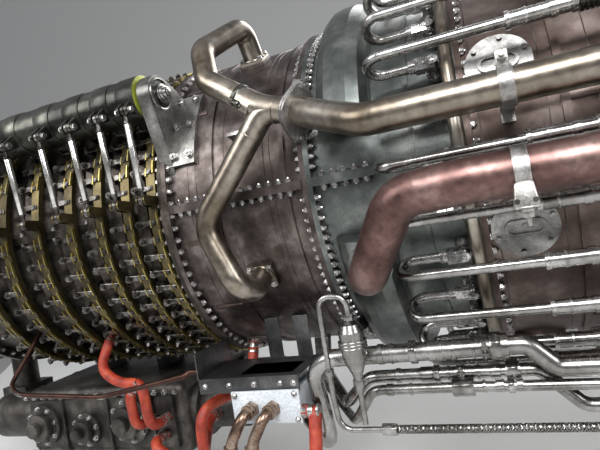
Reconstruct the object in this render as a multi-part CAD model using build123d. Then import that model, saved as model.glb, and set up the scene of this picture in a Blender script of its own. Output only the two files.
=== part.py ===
from build123d import *
import os
from math import atan2, cos, degrees, hypot, radians, sin

# Gas turbine for industrial drive: an axial compressor with variable vanes, a ring
# combustor, a gas generator turbine and a free power turbine on one axis.
# Row frame: X runs aft along the shaft axis, +Z is up and the left side, where the
# pipes are, faces -Y. The origin is the centre of the inlet flange's front face.

# Lengths of the modules along the axis
inlet_length = 330
front_frame_length = 330
front_case_length = 915
rear_case_length = 375
diffuser_length = 340
turbine_case_length = 410
mid_frame_length = 330
power_case_length = 800
exhaust_frame_length = 420
shaft_overhang = 230

# Radii and walls of the casings
gas_path_r = 372
front_case_r = 392
hoop_r = 420
rear_case_r = 424
diffuser_r = 426
diffuser_wall = 12
bulge_r = 484
turbine_case_r = 452
turbine_wall = 10
flange_r = 442
turbine_flange_r = 464
power_inlet_r = 470
power_outlet_r = 640
power_wall = 9
hub_r = 165
flange_thickness = 12
split_flange_width = 22
split_flange_thickness = 10
inlet_lip_r = 575
bell_height = 175
sheet = 5

# Fits
clearance = 0.5
pin_clearance = 0.05
open_pivot_clearance = 2.0
tip_clearance = 1.5

# Variable vanes and their unison rings, counted from the front
ring_from_rear = (680, 550, 425, 305, 205, 115, 35)
vane_counts = (24, 24, 26, 28, 30, 32, 34)
ring_inner_r = 424
ring_outer_r = 438
ring_width = 26
ring_wall = 3
ring_pads = 8
lever_length = 45
lever_width = 14
lever_thickness = 3.4
spindle_r = 6
vane_chord = 44
vane_thickness = 6
foil_count = 24
foil_clearance = 0.3
lug_r = 472
lug_degrees = 4
lug_ear = 5
lug_gap = 16
lug_guard = 5

# Torque shafts that drive the rings, one on each side
shaft_out = 425
shaft_up = 285
shaft_r = 55
shaft_wall = 6
journal_r = 22
shaft_front_reach = 75
shaft_rear_gap = 10
arm_down = 30
arm_lengths = (92, 88, 84, 82, 80, 76, 70)
ear_thickness = 8
pin_r = 5
link_r = 6.5
link_eye_r = 12
link_eye_width = 13
crank_length = 70
crank_gap = 20
crank_thickness = 16
bearing_plate = 20
rear_bearing_plate = 34
bearing_gap = 8

# Vane actuators
rod_r = 12
cylinder_r = 30
cylinder_top = 150
cylinder_bottom = -120
rod_eye_r = 20

# Rotors
drum_front_r = 185
drum_rear_r = 325
drum_wall = 14
main_shaft_r = 70
stage_count = 16
blade_count = 34
blade_chord = 34
turbine_hub_r = 300
turbine_tip_r = 436
power_hub_r = 330
power_stages = 6
power_shaft_r = 80
coupling_r = 190
coupling_thickness = 28
coupling_bolts = 12
coupling_hole_r = 11
coupling_pcd = 320

# Bolts
bolt_r = 4
bolt_head_r = 6.5
bolt_head = 8
main_bolts = 120
split_pitch = 24
inlet_bolts = 24
inlet_hole_r = 5.5
exhaust_bolts = 36
exhaust_hole_r = 6.5

# Fuel pigtails and nozzles
nozzle_count = 30
nozzle_phase = -0.75
nozzle_x = 300
nozzle_r = 11
pigtail_r = 10
pigtail_inner_r = 472
pigtail_outer_r = 533
pigtail_sleeve_r = 14.5
sleeve_x = 440
sleeve_length = 110
fuel_manifold_x = 690
fuel_manifold_tube_r = 18
ring_tube_x = 326
ring_tube_r = 13.5
ring_tube_at = 480

# Air pipes on the left side
manifold_pipe_r = 27
straight_pipe_r = 30
recoup_pipe_r = 39
pipe_wall = 2.5
straight_pipe_out = 592
straight_pipe_up = 77
recoup_pipe_out = 605
recoup_pipe_down = -62
port_x = -165
pipe_aft_x = 900

x_frame = inlet_length
x_front = x_frame + front_frame_length
x_rear = x_front + front_case_length
x_main = x_rear + rear_case_length
x_turbine = x_main + diffuser_length
x_mid = x_turbine + turbine_case_length
x_power = x_mid + mid_frame_length
x_exhaust = x_power + power_case_length
x_tail = x_exhaust + exhaust_frame_length
x_coupling = x_tail + shaft_overhang
ring_x = [x_rear - distance for distance in ring_from_rear]
shaft_front = ring_x[0] - shaft_front_reach
shaft_rear = x_rear - shaft_rear_gap
crank_x = shaft_front - crank_gap
front_bearing_x = crank_x - crank_thickness / 2 - 2 * rod_r - 12 - bearing_gap - bearing_plate
rear_bearing_x = shaft_rear + bearing_gap

written = []


def block(x0, x1, r0, r1):
    """Outline of a plain rectangular section, from x0 to x1 and from radius r0 to r1."""
    return [(x0, r0), (x1, r0), (x1, r1), (x0, r1)]


def turned(*outlines):
    """Solid turned about the shaft axis from one or more closed (x, radius) outlines."""
    faces = [make_face(Polyline([(x, 0, r) for x, r in line], close=True)) for line in outlines]
    return joined([revolve(face, Axis.X) for face in faces])


def turned_half(side, *outlines):
    """Upper half (side 1) or lower half (side -1) of a turned shell."""
    faces = [
        make_face(Polyline([(x, side * r, 0) for x, r in line], close=True)) for line in outlines
    ]
    return joined([revolve(face, Axis.X, 180) for face in faces])


def turned_arc(start, stop, outline):
    """Sector of a turned shell from start to stop, in degrees up from the left side."""
    face = make_face(Polyline([(x, 0, r) for x, r in outline], close=True))
    return around(stop) * revolve(face, Axis.X, stop - start)


def joined(shapes):
    """One shape from several that meet."""
    return shapes[0] + shapes[1:] if len(shapes) > 1 else shapes[0]


def around(angle):
    """Turns what is built above the axis to an angle, in degrees up from the left side."""
    return Rot(X=90 - angle)


def at(x, r, angle):
    """Point at station x and radius r, at an angle in degrees up from the left side."""
    return Vector(x, -r * cos(radians(angle)), r * sin(radians(angle)))


def rod(start, end, radius):
    """Round bar from start to end."""
    start = Vector(start)
    run = Vector(end) - start
    return extrude(Plane(origin=start, z_dir=run) * Circle(radius), amount=run.length)


def axial(x0, x1, y, z, radius):
    """Round bar along the shaft direction, at a side and height."""
    return rod((x0, y, z), (x1, y, z), radius)


def slab(x0, x1, y0, y1, z0, z1):
    """Box between two corners."""
    middle = ((x0 + x1) / 2, (y0 + y1) / 2, (z0 + z1) / 2)
    return Pos(*middle) * Box(abs(x1 - x0), abs(y1 - y0), abs(z1 - z0))


def pipe(points, bend, radius, wall=0):
    """Tube, or bar where wall is 0, along straight runs joined by tangent arcs."""
    path = FilletPolyline(*points, radius=bend) if len(points) > 2 else Line(*points)
    section = Circle(radius) - Circle(radius - wall) if wall else Circle(radius)
    return sweep(Plane(origin=path @ 0, z_dir=path % 0) * section, path=path)


def hull_plate(x, thickness, centres, radii):
    """Plate square to the axis around several discs at (y, z), as a hull of them."""
    discs = [Pos(y, z) * Circle(r) for (y, z), r in zip(centres, radii)]
    outline = make_hull([edge for disc in discs for edge in disc.edges()])
    return extrude(Plane(origin=(x, 0, 0), x_dir=(0, 1, 0), z_dir=(1, 0, 0)) * outline, thickness)


def bolt(grip, radius=bolt_r, head_r=bolt_head_r, head=bolt_head):
    """Bolt with its nut, along X, clamping from x = 0 to x = grip."""
    profile = [(-head, 0), (-head, head_r), (0, head_r), (0, radius), (grip, radius)]
    profile += [(grip, head_r), (grip + head, head_r), (grip + head, radius)]
    profile += [(grip + head + 3, radius), (grip + head + 3, 0)]
    return turned(profile)


def spread(count, phase=0.0):
    """Evenly spaced angles."""
    return [phase + 360 * k / count for k in range(count)]


def both_sides(piece):
    """A piece and its mirror image on the other side of the axis."""
    return [piece, mirror(piece, about=Plane.XZ)]


def save(name, *shapes):
    """Write one node, as one solid or as a group of separate solids."""
    solids = [solid for shape in shapes for solid in shape.solids()]
    export_step(solids[0] if len(solids) == 1 else Compound(solids), f"parts/{name}.step")
    written.append(name)


# Inlet bellmouth, spun from one sheet, with a lip flange that bolts to the intake
def make_inlet():
    run = inlet_length - flange_thickness
    centre_r = gas_path_r + bell_height
    outer = EllipticalCenterArc((inlet_length, centre_r), run, bell_height, 180)
    inner = EllipticalCenterArc((inlet_length, centre_r), run - sheet, bell_height - sheet, 180)
    caps = [Line(outer @ 0, inner @ 0), Line(outer @ 1, inner @ 1)]
    bell = revolve(Plane.XZ * make_face([outer, inner] + caps), Axis.X)
    lip_r = inlet_lip_r + 25
    lip = turned(block(0, flange_thickness + sheet, centre_r - sheet, lip_r))
    throat = turned(block(x_frame - flange_thickness, x_frame, gas_path_r, front_case_r + 30))
    holes = [
        around(a) * rod((-1, 0, inlet_lip_r), (flange_thickness + sheet + 1, 0, inlet_lip_r), inlet_hole_r)
        for a in spread(inlet_bolts, 7.5)
    ]
    save("inlet_bellmouth", joined([bell, lip, throat]) - holes)
    save("nose_cone", nose_shell(hub_r) - nose_shell(hub_r - sheet))


def nose_shell(radius):
    """Half ellipsoid ahead of the front frame's hub."""
    length = radius * 1.2
    arc = EllipticalCenterArc((x_frame, 0), length, radius, 90)
    outline = [arc, Line(arc @ 1, (x_frame, 0)), Line((x_frame, 0), arc @ 0)]
    return revolve(Plane.XZ * make_face(outline), Axis.X)


# Front frame: hub and outer ring joined by six struts, with the front bearing's web and
# a trunnion on each side that carries the engine
trunnion_r = 35
trunnion_reach = 90
strut_count = 6


def make_front_frame():
    outer = turned(
        block(x_frame, x_front, gas_path_r, front_case_r),
        block(x_frame, x_frame + flange_thickness, gas_path_r, front_case_r + 30),
        block(x_front - flange_thickness, x_front, gas_path_r, front_case_r + 30),
    )
    hub = turned(block(x_frame, x_front - 20, hub_r - 25, hub_r))
    bearing_x = x_front - 120
    web = turned(block(bearing_x, bearing_x + 40, main_shaft_r + clearance, hub_r - 10))
    middle = (x_frame + x_front) / 2
    strut = Pos(middle, 0, hub_r - 10) * extrude(Ellipse(105, 17), gas_path_r - hub_r + 20)
    struts = [around(a) * strut for a in spread(strut_count, 90)]
    pad = rod((middle, 0, front_case_r - 10), (middle, 0, flange_r), 70)
    pin = rod((middle, 0, flange_r - 5), (middle, 0, flange_r + trunnion_reach), trunnion_r)
    trunnions = [around(a) * (pad + pin) for a in (0, 180)]
    save("front_frame", joined([outer, hub, web] + struts + trunnions))


# Front compressor case: split along the shaft's plane, with a raised hoop for each row
# of vane spindles, and rubbing pads that centre the unison rings
def split_flanges(side, x0, x1, radius):
    """The two long flanges along a case half's split line."""
    z = sorted((0, side * split_flange_thickness))
    left = slab(x0, x1, -(radius + split_flange_width), -(radius - 8), *z)
    return both_sides(left)


def split_stations(x0, x1):
    """Stations of the bolts along a split line."""
    count = int((x1 - x0) // split_pitch)
    start = (x0 + x1 - (count - 1) * split_pitch) / 2
    return [start + k * split_pitch for k in range(count)]


def split_bolt_place(x, radius):
    """Upright bolt through the left split flanges."""
    y = -(radius + split_flange_width - bolt_head_r - 2)
    return Pos(x, y, -split_flange_thickness) * Rot(Y=-90)


def spindle_x(stage):
    return ring_x[stage] - lever_length


def vane_angles(stage):
    count = vane_counts[stage]
    return spread(count, 180 / count)


def front_split_stations():
    """Split line bolts of the front case, kept out from under the rings and hoops."""
    taken = [x for k in range(7) for x in (ring_x[k], spindle_x(k))]
    stations = split_stations(x_front + 20, x_rear - 20)
    return [x for x in stations if min(abs(x - t) for t in taken) > 27]


def make_front_case(side, name):
    outlines = [
        block(x_front, x_rear, gas_path_r, front_case_r),
        block(x_front, x_front + flange_thickness, gas_path_r, front_case_r + 30),
        block(x_rear - flange_thickness, x_rear, gas_path_r, flange_r),
    ]
    outlines += [block(spindle_x(k) - 13, spindle_x(k) + 13, front_case_r - 4, hoop_r) for k in range(7)]
    shell = turned_half(side, *outlines)
    pad = slab(-17, 17, -10, 10, front_case_r - 4, ring_inner_r - clearance)
    angles = [a for a in spread(ring_pads, 22.5) if sin(radians(a)) * side > 0]
    pads = [Pos(x, 0, 0) * (around(a) * pad) for x in ring_x for a in angles]
    whole = joined([shell] + split_flanges(side, x_front, x_rear, front_case_r) + pads)
    save(name, whole - split_holes(front_split_stations(), front_case_r))


def split_holes(stations, radius):
    """Bolt holes through the split flanges of both sides."""
    hole = Pos(0, -(radius + split_flange_width - bolt_head_r - 2), 0) * Cylinder(bolt_r + 0.2, 60)
    return [Pos(x, 0, 0) * copy for x in stations for copy in both_sides(hole)]


def drum_r(x):
    """Radius of the compressor drum at a station."""
    share = (x - x_front) / (x_main - x_front)
    return drum_front_r + (drum_rear_r - drum_front_r) * min(max(share, 0), 1)


def clears_lugs(angle):
    """Whether a lever at this angle stays clear of the clevises of its ring."""
    return min(abs(angle - lug_degrees), abs(angle - (180 - lug_degrees))) > lug_guard


def make_foils():
    """Foils of the variable vanes, hung just under the inner wall of the front case."""
    wall = turned(block(x_front, x_rear, gas_path_r - foil_clearance, gas_path_r + 20))
    foils = []
    for stage in range(7):
        foot = drum_r(spindle_x(stage)) + 4
        foil = Pos(spindle_x(stage), 0, foot) * Rot(Z=25) * extrude(
            Ellipse(vane_chord / 2, vane_thickness / 2), gas_path_r + 5 - foot
        )
        foils += [around(a) * (foil - wall) for a in spread(foil_count, 7.5)]
    return foils


def make_levers():
    """Spindle end, nut and lever of every variable vane as one solid, and the foils."""
    lever_z = ring_outer_r + clearance
    arm = slab(-lever_width / 2, lever_length + lever_width / 2, -lever_width / 2, lever_width / 2,
               lever_z, lever_z + lever_thickness)
    spindle = rod((0, 0, hoop_r + clearance), (0, 0, lever_z + 9), spindle_r + 2.5)
    lever = arm + spindle
    levers = [
        Pos(spindle_x(stage), 0, 0) * (around(a) * lever)
        for stage in range(7)
        for a in vane_angles(stage)
        if clears_lugs(a)
    ]
    save("vane_levers", *levers, *make_foils())


def make_unison_ring(stage):
    """Channel ring open inwards, with a clevis on each side for its drive link."""
    x0 = ring_x[stage] - ring_width / 2
    x1 = x0 + ring_width
    ring = turned(
        block(x0, x1, ring_outer_r - ring_wall, ring_outer_r),
        block(x0, x0 + ring_wall, ring_inner_r, ring_outer_r),
        block(x1 - ring_wall, x1, ring_inner_r, ring_outer_r),
    )
    drop = lug_r - ring_outer_r + 2
    ear = extrude(Circle(link_eye_r) + Pos(0, -drop / 2) * Rectangle(2 * link_eye_r, drop), lug_ear)
    upright = Plane(origin=(0, 0, lug_r), x_dir=(0, 1, 0), z_dir=(1, 0, 0))
    ears = [
        Pos(ring_x[stage] + offset, 0, 0) * (upright * ear)
        for offset in (-lug_gap / 2 - lug_ear, lug_gap / 2)
    ]
    pin = axial(ring_x[stage] - ring_width / 2, ring_x[stage] + ring_width / 2, 0, lug_r, pin_r)
    lug = [around(a) * piece for a in (lug_degrees, 180 - lug_degrees) for piece in ears + [pin]]
    save(f"unison_ring_{stage + 1}", joined([ring] + lug))


# Torque shafts, links and actuators. All are built on the left side; the right ones are
# mirror images.
def link_top(stage):
    reach = arm_lengths[stage]
    down = radians(arm_down)
    return -(shaft_out + reach * cos(down)), shaft_up - reach * sin(down)


def link_bottom():
    foot = at(0, lug_r, lug_degrees)
    return foot.Y, foot.Z


def make_torque_shafts():
    axis = (-shaft_out, shaft_up)
    tube = axial(shaft_front, shaft_rear, *axis, shaft_r)
    bore = axial(shaft_front + 10, shaft_rear - 10, *axis, shaft_r - shaft_wall)
    front_journal = axial(front_bearing_x - 12, shaft_front + 5, *axis, journal_r)
    rear_journal = axial(shaft_rear - 5, rear_bearing_x + rear_bearing_plate + 8, *axis, journal_r)
    crank_pin = (-(shaft_out + crank_length), shaft_up)
    crank = hull_plate(crank_x - crank_thickness / 2, crank_thickness, [axis, crank_pin], (34, 16))
    stud = axial(crank_x - 32, crank_x + crank_thickness / 2, *crank_pin, pin_r + 3)
    pieces = [tube, front_journal, rear_journal, crank, stud]
    for stage in range(7):
        top = link_top(stage)
        x = ring_x[stage]
        for offset in (-lug_gap / 2 - ear_thickness, lug_gap / 2):
            ear = hull_plate(x + offset, ear_thickness, [axis, top], (24, link_eye_r + 1))
            pieces.append(ear)
        reach = lug_gap / 2 + ear_thickness + 4
        pieces.append(axial(x - reach, x + reach, *top, pin_r))
    # The link eyes swing past the tube in pockets that are cut into its outer side.
    pockets = [
        axial(ring_x[k] - lug_gap / 2, ring_x[k] + lug_gap / 2, *link_top(k), link_eye_r + 4)
        for k in range(7)
    ]
    pins = [axial(ring_x[k] - 12, ring_x[k] + 12, *link_top(k), pin_r) for k in range(7)]
    shaft = joined([joined(pieces) - bore - pockets] + pins)
    for name, copy in zip(("left", "right"), both_sides(shaft)):
        save(f"torque_shaft_{name}", copy)


def make_link(stage):
    x = ring_x[stage]
    half = link_eye_width / 2
    top = link_top(stage)
    foot = link_bottom()
    upper, lower = Vector(x, *top), Vector(x, *foot)
    way = (lower - upper).normalized() * (link_eye_r - 2.5)
    bar = rod(upper + way, lower - way, link_r)
    eyes = [axial(x - half, x + half, *place, link_eye_r) for place in (top, foot)]
    bores = [
        axial(x - half - 1, x + half + 1, *top, pin_r + pin_clearance),
        axial(x - half - 1, x + half + 1, *foot, pin_r + open_pivot_clearance),
    ]
    link = joined([bar] + eyes) - bores
    for name, copy in zip(("left", "right"), both_sides(link)):
        save(f"vane_link_{name}_{stage + 1}", copy)


def make_shaft_brackets():
    """Bearing brackets of the torque shafts, bolted to the cases."""
    axis = (-shaft_out, shaft_up)
    seat = at(0, rear_case_r - 20, 14)
    high = at(0, rear_case_r - 20, 40)
    rear = hull_plate(
        rear_bearing_x, rear_bearing_plate, [axis, (seat.Y, seat.Z), (high.Y, high.Z)], (48, 26, 26)
    )
    foot = turned_arc(14, 42, block(rear_bearing_x, rear_bearing_x + 95, rear_case_r - 4, rear_case_r + 12))
    rib = hull_plate(
        rear_bearing_x + rear_bearing_plate, 46, [(seat.Y + 8, seat.Z), (high.Y + 8, high.Z)], (26, 26)
    )
    rear = rear + foot + rib - axial(0, x_tail, 0, 0, rear_case_r)
    rear = rear - axial(0, x_rear + flange_thickness + clearance, 0, 0, flange_r + clearance)
    seat = at(0, front_case_r - 20, 18)
    high = at(0, front_case_r - 20, 44)
    front = hull_plate(
        front_bearing_x, bearing_plate, [axis, (seat.Y, seat.Z), (high.Y, high.Z)], (42, 18, 18)
    )
    front_foot = block(front_bearing_x - 20, front_bearing_x + bearing_plate, front_case_r, front_case_r + 12)
    front = front - axial(0, x_tail, 0, 0, front_case_r) + turned_arc(18, 46, front_foot)
    bores = [axial(0, x_tail, *axis, journal_r + pin_clearance)]
    pieces = both_sides(rear - bores) + both_sides(front - bores)
    save("shaft_bearing_brackets", *pieces)


def make_actuators():
    y = -(shaft_out + crank_length)
    x = crank_x - crank_thickness / 2 - rod_r - 3
    body = rod((x, y, cylinder_bottom), (x, y, cylinder_top), cylinder_r)
    gland = rod((x, y, cylinder_top - 5), (x, y, cylinder_top + 12), rod_r + 9)
    fork = slab(x - 14, x + 14, y + 5, -(front_case_r - 30), -100, -50)
    fork = fork - axial(0, x_rear, 0, 0, front_case_r)
    bore = rod((x, y, cylinder_bottom + 20), (x, y, cylinder_top + 13), rod_r + pin_clearance)
    caps = [rod((x, y, z), (x, y, z + 18), cylinder_r + 5) for z in (cylinder_bottom, cylinder_top - 22)]
    body = joined([body, gland, fork] + caps) - bore
    save("vane_actuators", *both_sides(body))
    eye = axial(x - 7, x + 7, y, shaft_up, rod_eye_r)
    bar = rod((x, y, cylinder_bottom + 50), (x, y, shaft_up - 10), rod_r)
    hole = axial(x - 8, x + 8, y, shaft_up, pin_r + 3 + open_pivot_clearance + 0.5)
    for name, copy in zip(("left", "right"), both_sides(bar + eye - hole)):
        save(f"actuator_rod_{name}", copy)


# Rear compressor case, with the bleed ports' pads
def port_places():
    """Angle of each bleed port on the left side of the rear case."""
    return (-26, 58)


def make_rear_case(side, name):
    outlines = [
        block(x_rear, x_main, rear_case_r - 10, rear_case_r),
        block(x_rear, x_rear + flange_thickness, gas_path_r, flange_r),
        block(x_main - flange_thickness, x_main, gas_path_r, flange_r),
        block(x_rear + 120, x_rear + 138, rear_case_r - 12, rear_case_r + 5),
        block(x_main - 60, x_main - 50, rear_case_r - 12, rear_case_r + 5),
    ]
    rails = [x_rear + flange_thickness + 36 * k for k in range(10)]
    outlines += [block(x, x + 14, drum_r(x) + 6, gas_path_r) for x in rails]
    outlines.append(block(x_rear, x_main, gas_path_r, gas_path_r + 8))
    shell = turned_half(side, *outlines)
    pads = [
        around(a) * slab(x_main + port_x - 33, x_main + port_x + 33, -30, 30, rear_case_r - 8, rear_case_r + 8)
        for a in port_places()
        if a * side > 0
    ]
    x0 = x_rear + flange_thickness
    x1 = x_main - flange_thickness
    whole = joined([shell] + split_flanges(side, x0, x1, rear_case_r) + pads)
    bores = [
        around(a) * rod((x_main + port_x, 0, rear_case_r - 20), (x_main + port_x, 0, rear_case_r + 20), 22)
        for a in port_places()
        if a * side > 0
    ]
    save(name, whole - bores - split_holes(split_stations(x0 + 10, x1 - 10), rear_case_r) - flange_holes())


def flange_holes():
    """Bolt circle of the main flange."""
    r = flange_r - bolt_head_r - 2
    hole = axial(x_main - flange_thickness - 1, x_main + flange_thickness + 1, 0, r, bolt_r + 0.2)
    return [around(a) * hole for a in main_bolt_angles()]


def main_bolt_angles():
    """Bolt places of the main flange, with gaps where the split line crosses it."""
    return [a for a in spread(main_bolts, 1.5) if abs(sin(radians(a))) > sin(radians(2.5))]


# Diffuser case around the combustor, with a bulged air gallery above and below the
# split line
bulge_start = 36
bulge_end = 160
upper_bulge = 13
lower_bulge = -17
recoup_port_x = 112
recoup_port_angle = -23.5


def make_diffuser_case(side, name):
    x0 = x_main
    inner = diffuser_r - diffuser_wall
    shell = turned_half(
        side,
        block(x0, x_turbine, inner, diffuser_r),
        block(x0, x0 + flange_thickness, gas_path_r, flange_r),
        block(x_turbine - flange_thickness, x_turbine, inner, turbine_flange_r),
        block(x0 + 230, x0 + 240, inner, diffuser_r + 6),
    )
    step = bulge_r - diffuser_r
    gallery = [
        (x0 + bulge_start, diffuser_r - 2),
        (x0 + bulge_start + 6, diffuser_r + 0.4 * step),
        (x0 + bulge_start + 16, diffuser_r + 0.72 * step),
        (x0 + bulge_start + 34, diffuser_r + 0.93 * step),
        (x0 + bulge_start + 56, bulge_r),
        (x0 + bulge_end - 40, bulge_r),
        (x0 + bulge_end - 14, diffuser_r + 0.86 * step),
        (x0 + bulge_end, diffuser_r + 0.5 * step),
        (x0 + bulge_end, diffuser_r - 2),
    ]
    edges = (upper_bulge, 180 - upper_bulge) if side > 0 else (180 - lower_bulge, 360 + lower_bulge)
    bulge = turned_arc(*edges, gallery)
    pad = rod((x0 + nozzle_x, 0, diffuser_r - 4), (x0 + nozzle_x, 0, diffuser_r + 10), nozzle_r + 8)
    angles = [a for a in nozzle_angles() if sin(radians(a)) * side > -sin(radians(3))]
    pads = [around(a) * pad for a in angles]
    flanges = split_flanges(side, x0 + flange_thickness, x0 + bulge_end, diffuser_r)
    other_half = slab(x0 - 1, x_turbine + 1, -500, 500, 0, -500 * side)
    whole = joined([shell, bulge] + pads + flanges) - other_half
    holes = [
        around(a) * rod((x0 + nozzle_x, 0, inner - 10), (x0 + nozzle_x, 0, diffuser_r + 20), nozzle_r + 0.1)
        for a in angles
    ]
    if side < 0:
        port = rod((x0 + recoup_port_x, 0, bulge_r - 30), (x0 + recoup_port_x, 0, bulge_r + 6), recoup_pipe_r + 8)
        bore = rod((x0 + recoup_port_x, 0, diffuser_r + 5), (x0 + recoup_port_x, 0, bulge_r + 9), recoup_pipe_r - 6)
        whole = whole + around(recoup_port_angle) * port
        holes.append(around(recoup_port_angle) * bore)
    holes += split_holes(split_stations(x0 + 22, x0 + 150), diffuser_r)
    save(name, whole - holes - flange_holes())


def nozzle_angles():
    return spread(nozzle_count, nozzle_phase)


def make_casing_bolts():
    """Bolts of the case flanges and of the split lines, all in one group."""
    grip = 2 * flange_thickness
    main = Pos(x_main - flange_thickness, 0, flange_r - bolt_head_r - 2) * bolt(grip)
    bolts = [around(a) * main for a in main_bolt_angles()]
    upright = bolt(2 * split_flange_thickness)
    lines = [
        (split_stations(x_rear + flange_thickness + 10, x_main - flange_thickness - 10), rear_case_r),
        (split_stations(x_main + 22, x_main + 150), diffuser_r),
        (front_split_stations(), front_case_r),
    ]
    for stations, radius in lines:
        for x in stations:
            bolts += both_sides(split_bolt_place(x, radius) * upright)
    save("casing_bolts", *bolts)


# Combustor liner and fuel system
def make_combustor():
    x0 = x_main + 70
    x1 = x_turbine - 10
    walls = [
        block(x0, x1, 385, 385 + sheet),
        block(x0, x1, 250, 250 + sheet),
        block(x0, x0 + sheet, 250, 385 + sheet),
    ]
    mount = block(x1 - 10, x1, 385, diffuser_r - diffuser_wall)
    save("combustor_liner", turned(*walls, mount))


def make_fuel_system():
    x = x_main + nozzle_x
    flange = rod((x, 0, diffuser_r + 10), (x, 0, diffuser_r + 16), nozzle_r + 8)
    stem = rod((x, 0, 392), (x, 0, pigtail_inner_r + 13), nozzle_r)
    fitting = axial(x - 16, x + 4, 0, pigtail_inner_r, pigtail_r + 4.5)
    tip = axial(x - 60, x - 5, 0, 400, 7)
    nozzle = joined([flange, stem, fitting, tip])
    save("fuel_nozzles", *[around(a) * nozzle for a in nozzle_angles()])
    middle = (pigtail_inner_r + pigtail_outer_r) / 2
    bend = (pigtail_outer_r - pigtail_inner_r) / 2
    left = x_main + 175
    start = x - 16
    end = x_main + fuel_manifold_x - fuel_manifold_tube_r - 16
    route = [(start, 0, pigtail_inner_r), (left, 0, pigtail_inner_r)]
    route += [(left, 0, pigtail_outer_r), (end, 0, pigtail_outer_r)]
    tube = pipe(route, bend - 0.01, pigtail_r)
    nut = axial(start - 14, start, 0, pigtail_inner_r, pigtail_r + 3)
    sleeve = axial(x_main + sleeve_x, x_main + sleeve_x + sleeve_length, 0, pigtail_outer_r, pigtail_sleeve_r)
    collar = axial(x_main + sleeve_x + 70, x_main + sleeve_x + 82, 0, pigtail_outer_r, pigtail_sleeve_r + 2)
    pigtail = joined([tube, nut, sleeve, collar])
    save("fuel_pigtails", *[around(a) * pigtail for a in nozzle_angles()])
    hoop = turned_tube(x_main + fuel_manifold_x, pigtail_outer_r, fuel_manifold_tube_r)
    outlet = axial(end, end + 20, 0, pigtail_outer_r, pigtail_r + 4)
    outlets = [around(a) * outlet for a in nozzle_angles()]
    post = slab(-6, 6, -10, 10, turbine_case_r, pigtail_outer_r - fuel_manifold_tube_r + 4)
    posts = [Pos(x_main + fuel_manifold_x, 0, 0) * (around(a) * post) for a in spread(6, 33)]
    inlet = around(-96) * rod(
        (x_main + fuel_manifold_x, 0, pigtail_outer_r + 8), (x_main + fuel_manifold_x, 0, pigtail_outer_r + 60), 22
    )
    case = axial(x_turbine, x_mid, 0, 0, turbine_case_r)
    save("fuel_manifold", joined([hoop, inlet] + outlets + posts) - case)
    ring = turned_tube(x_main + ring_tube_x, ring_tube_at, ring_tube_r)
    tab = slab(-10, 1.5, -9, 9, diffuser_r, ring_tube_at - ring_tube_r + 4)
    tabs = [Pos(x_main + ring_tube_x, 0, 0) * (around(a) * tab) for a in spread(10, 17)]
    save("ring_manifold", joined([ring] + tabs) - axial(x_main, x_turbine, 0, 0, diffuser_r))


def turned_tube(x, radius, tube_r):
    """Ring made of round tube, hollow inside."""
    wall = 2
    centre = Plane(origin=(x, 0, radius), x_dir=(1, 0, 0), z_dir=(0, -1, 0))
    return revolve(centre * (Circle(tube_r) - Circle(tube_r - wall)), Axis.X)


# Hot section cases
def make_turbine_case():
    r = turbine_case_r
    shell = turned(
        block(x_turbine, x_mid, r - turbine_wall, r),
        block(x_turbine, x_turbine + flange_thickness, r - turbine_wall, turbine_flange_r),
        block(x_mid - flange_thickness, x_mid, r - turbine_wall, turbine_flange_r),
        block(x_turbine + 170, x_turbine + 184, r - turbine_wall, r + 9),
    )
    boss = rod((0, 0, r - 8), (0, 0, r + cover_seat), cover_r)
    bosses = [Pos(x, 0, 0) * (around(a) * boss) for x, a in cover_places()]
    bores = [
        Pos(x, 0, 0) * (around(a) * rod((0, 0, r - 20), (0, 0, r + 20), cover_r - 24))
        for x, a in cover_places()
    ]
    save("turbine_case", joined([shell] + bosses) - bores)
    plate = rod((0, 0, r + cover_seat), (0, 0, r + cover_seat + 7), cover_r)
    rim = Pos(0, 0, r + cover_seat + 7) * extrude(SlotOverall(74, 34), 5)
    cut = Pos(0, 0, r + cover_seat + 7) * extrude(SlotOverall(62, 22), 6)
    stud = Pos(cover_r - 9, 0, 0) * rod((0, 0, r + cover_seat + 6), (0, 0, r + cover_seat + 13), 5)
    bolts = [Rot(Z=60 * k + 20) * stud for k in range(6)]
    cover = Pos(0, 0, 0.3) * (joined([plate, rim] + bolts) - cut)
    covers = [Pos(x, 0, 0) * (around(a) * cover) for x, a in cover_places()]
    save("inspection_covers", *covers)


cover_r = 61
cover_seat = 10
cover_x = 417


def cover_places():
    """Station and angle of each inspection cover on the turbine case."""
    return [(x_main + cover_x, a) for a in (19, -20, 161, 200, 75, 285)]


def make_mid_frame():
    outer = turned(
        block(x_mid, x_power, power_inlet_r - 14, power_inlet_r),
        block(x_mid, x_mid + flange_thickness, turbine_case_r - turbine_wall, turbine_flange_r),
        block(x_power - flange_thickness, x_power, power_inlet_r - 14, power_inlet_r + 24),
    )
    hub = turned(block(x_mid + 30, x_power - 30, 235, 250))
    web = turned(block(x_mid + 120, x_mid + 160, main_shaft_r + clearance, 240))
    strut = Pos((x_mid + x_power) / 2, 0, 245) * extrude(Ellipse(90, 16), power_inlet_r - 250)
    struts = [around(a) * strut for a in spread(8, 22.5)]
    seats = [rod((x, 0, power_inlet_r - 8), (x, 0, power_inlet_r + 14), r) for x, a, r in aft_ports()]
    seats = [around(port[1]) * seat for port, seat in zip(aft_ports(), seats)]
    save("turbine_mid_frame", joined([outer, hub, web] + struts + seats))


def aft_ports():
    """Where the two long air pipes enter the mid frame: station, angle and pad radius."""
    straight = degrees(atan2(straight_pipe_up, straight_pipe_out))
    recoup = degrees(atan2(recoup_pipe_down, recoup_pipe_out))
    return [
        (x_main + pipe_aft_x, straight, straight_pipe_r + 8),
        (x_main + pipe_aft_x, recoup, recoup_pipe_r + 8),
    ]


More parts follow.
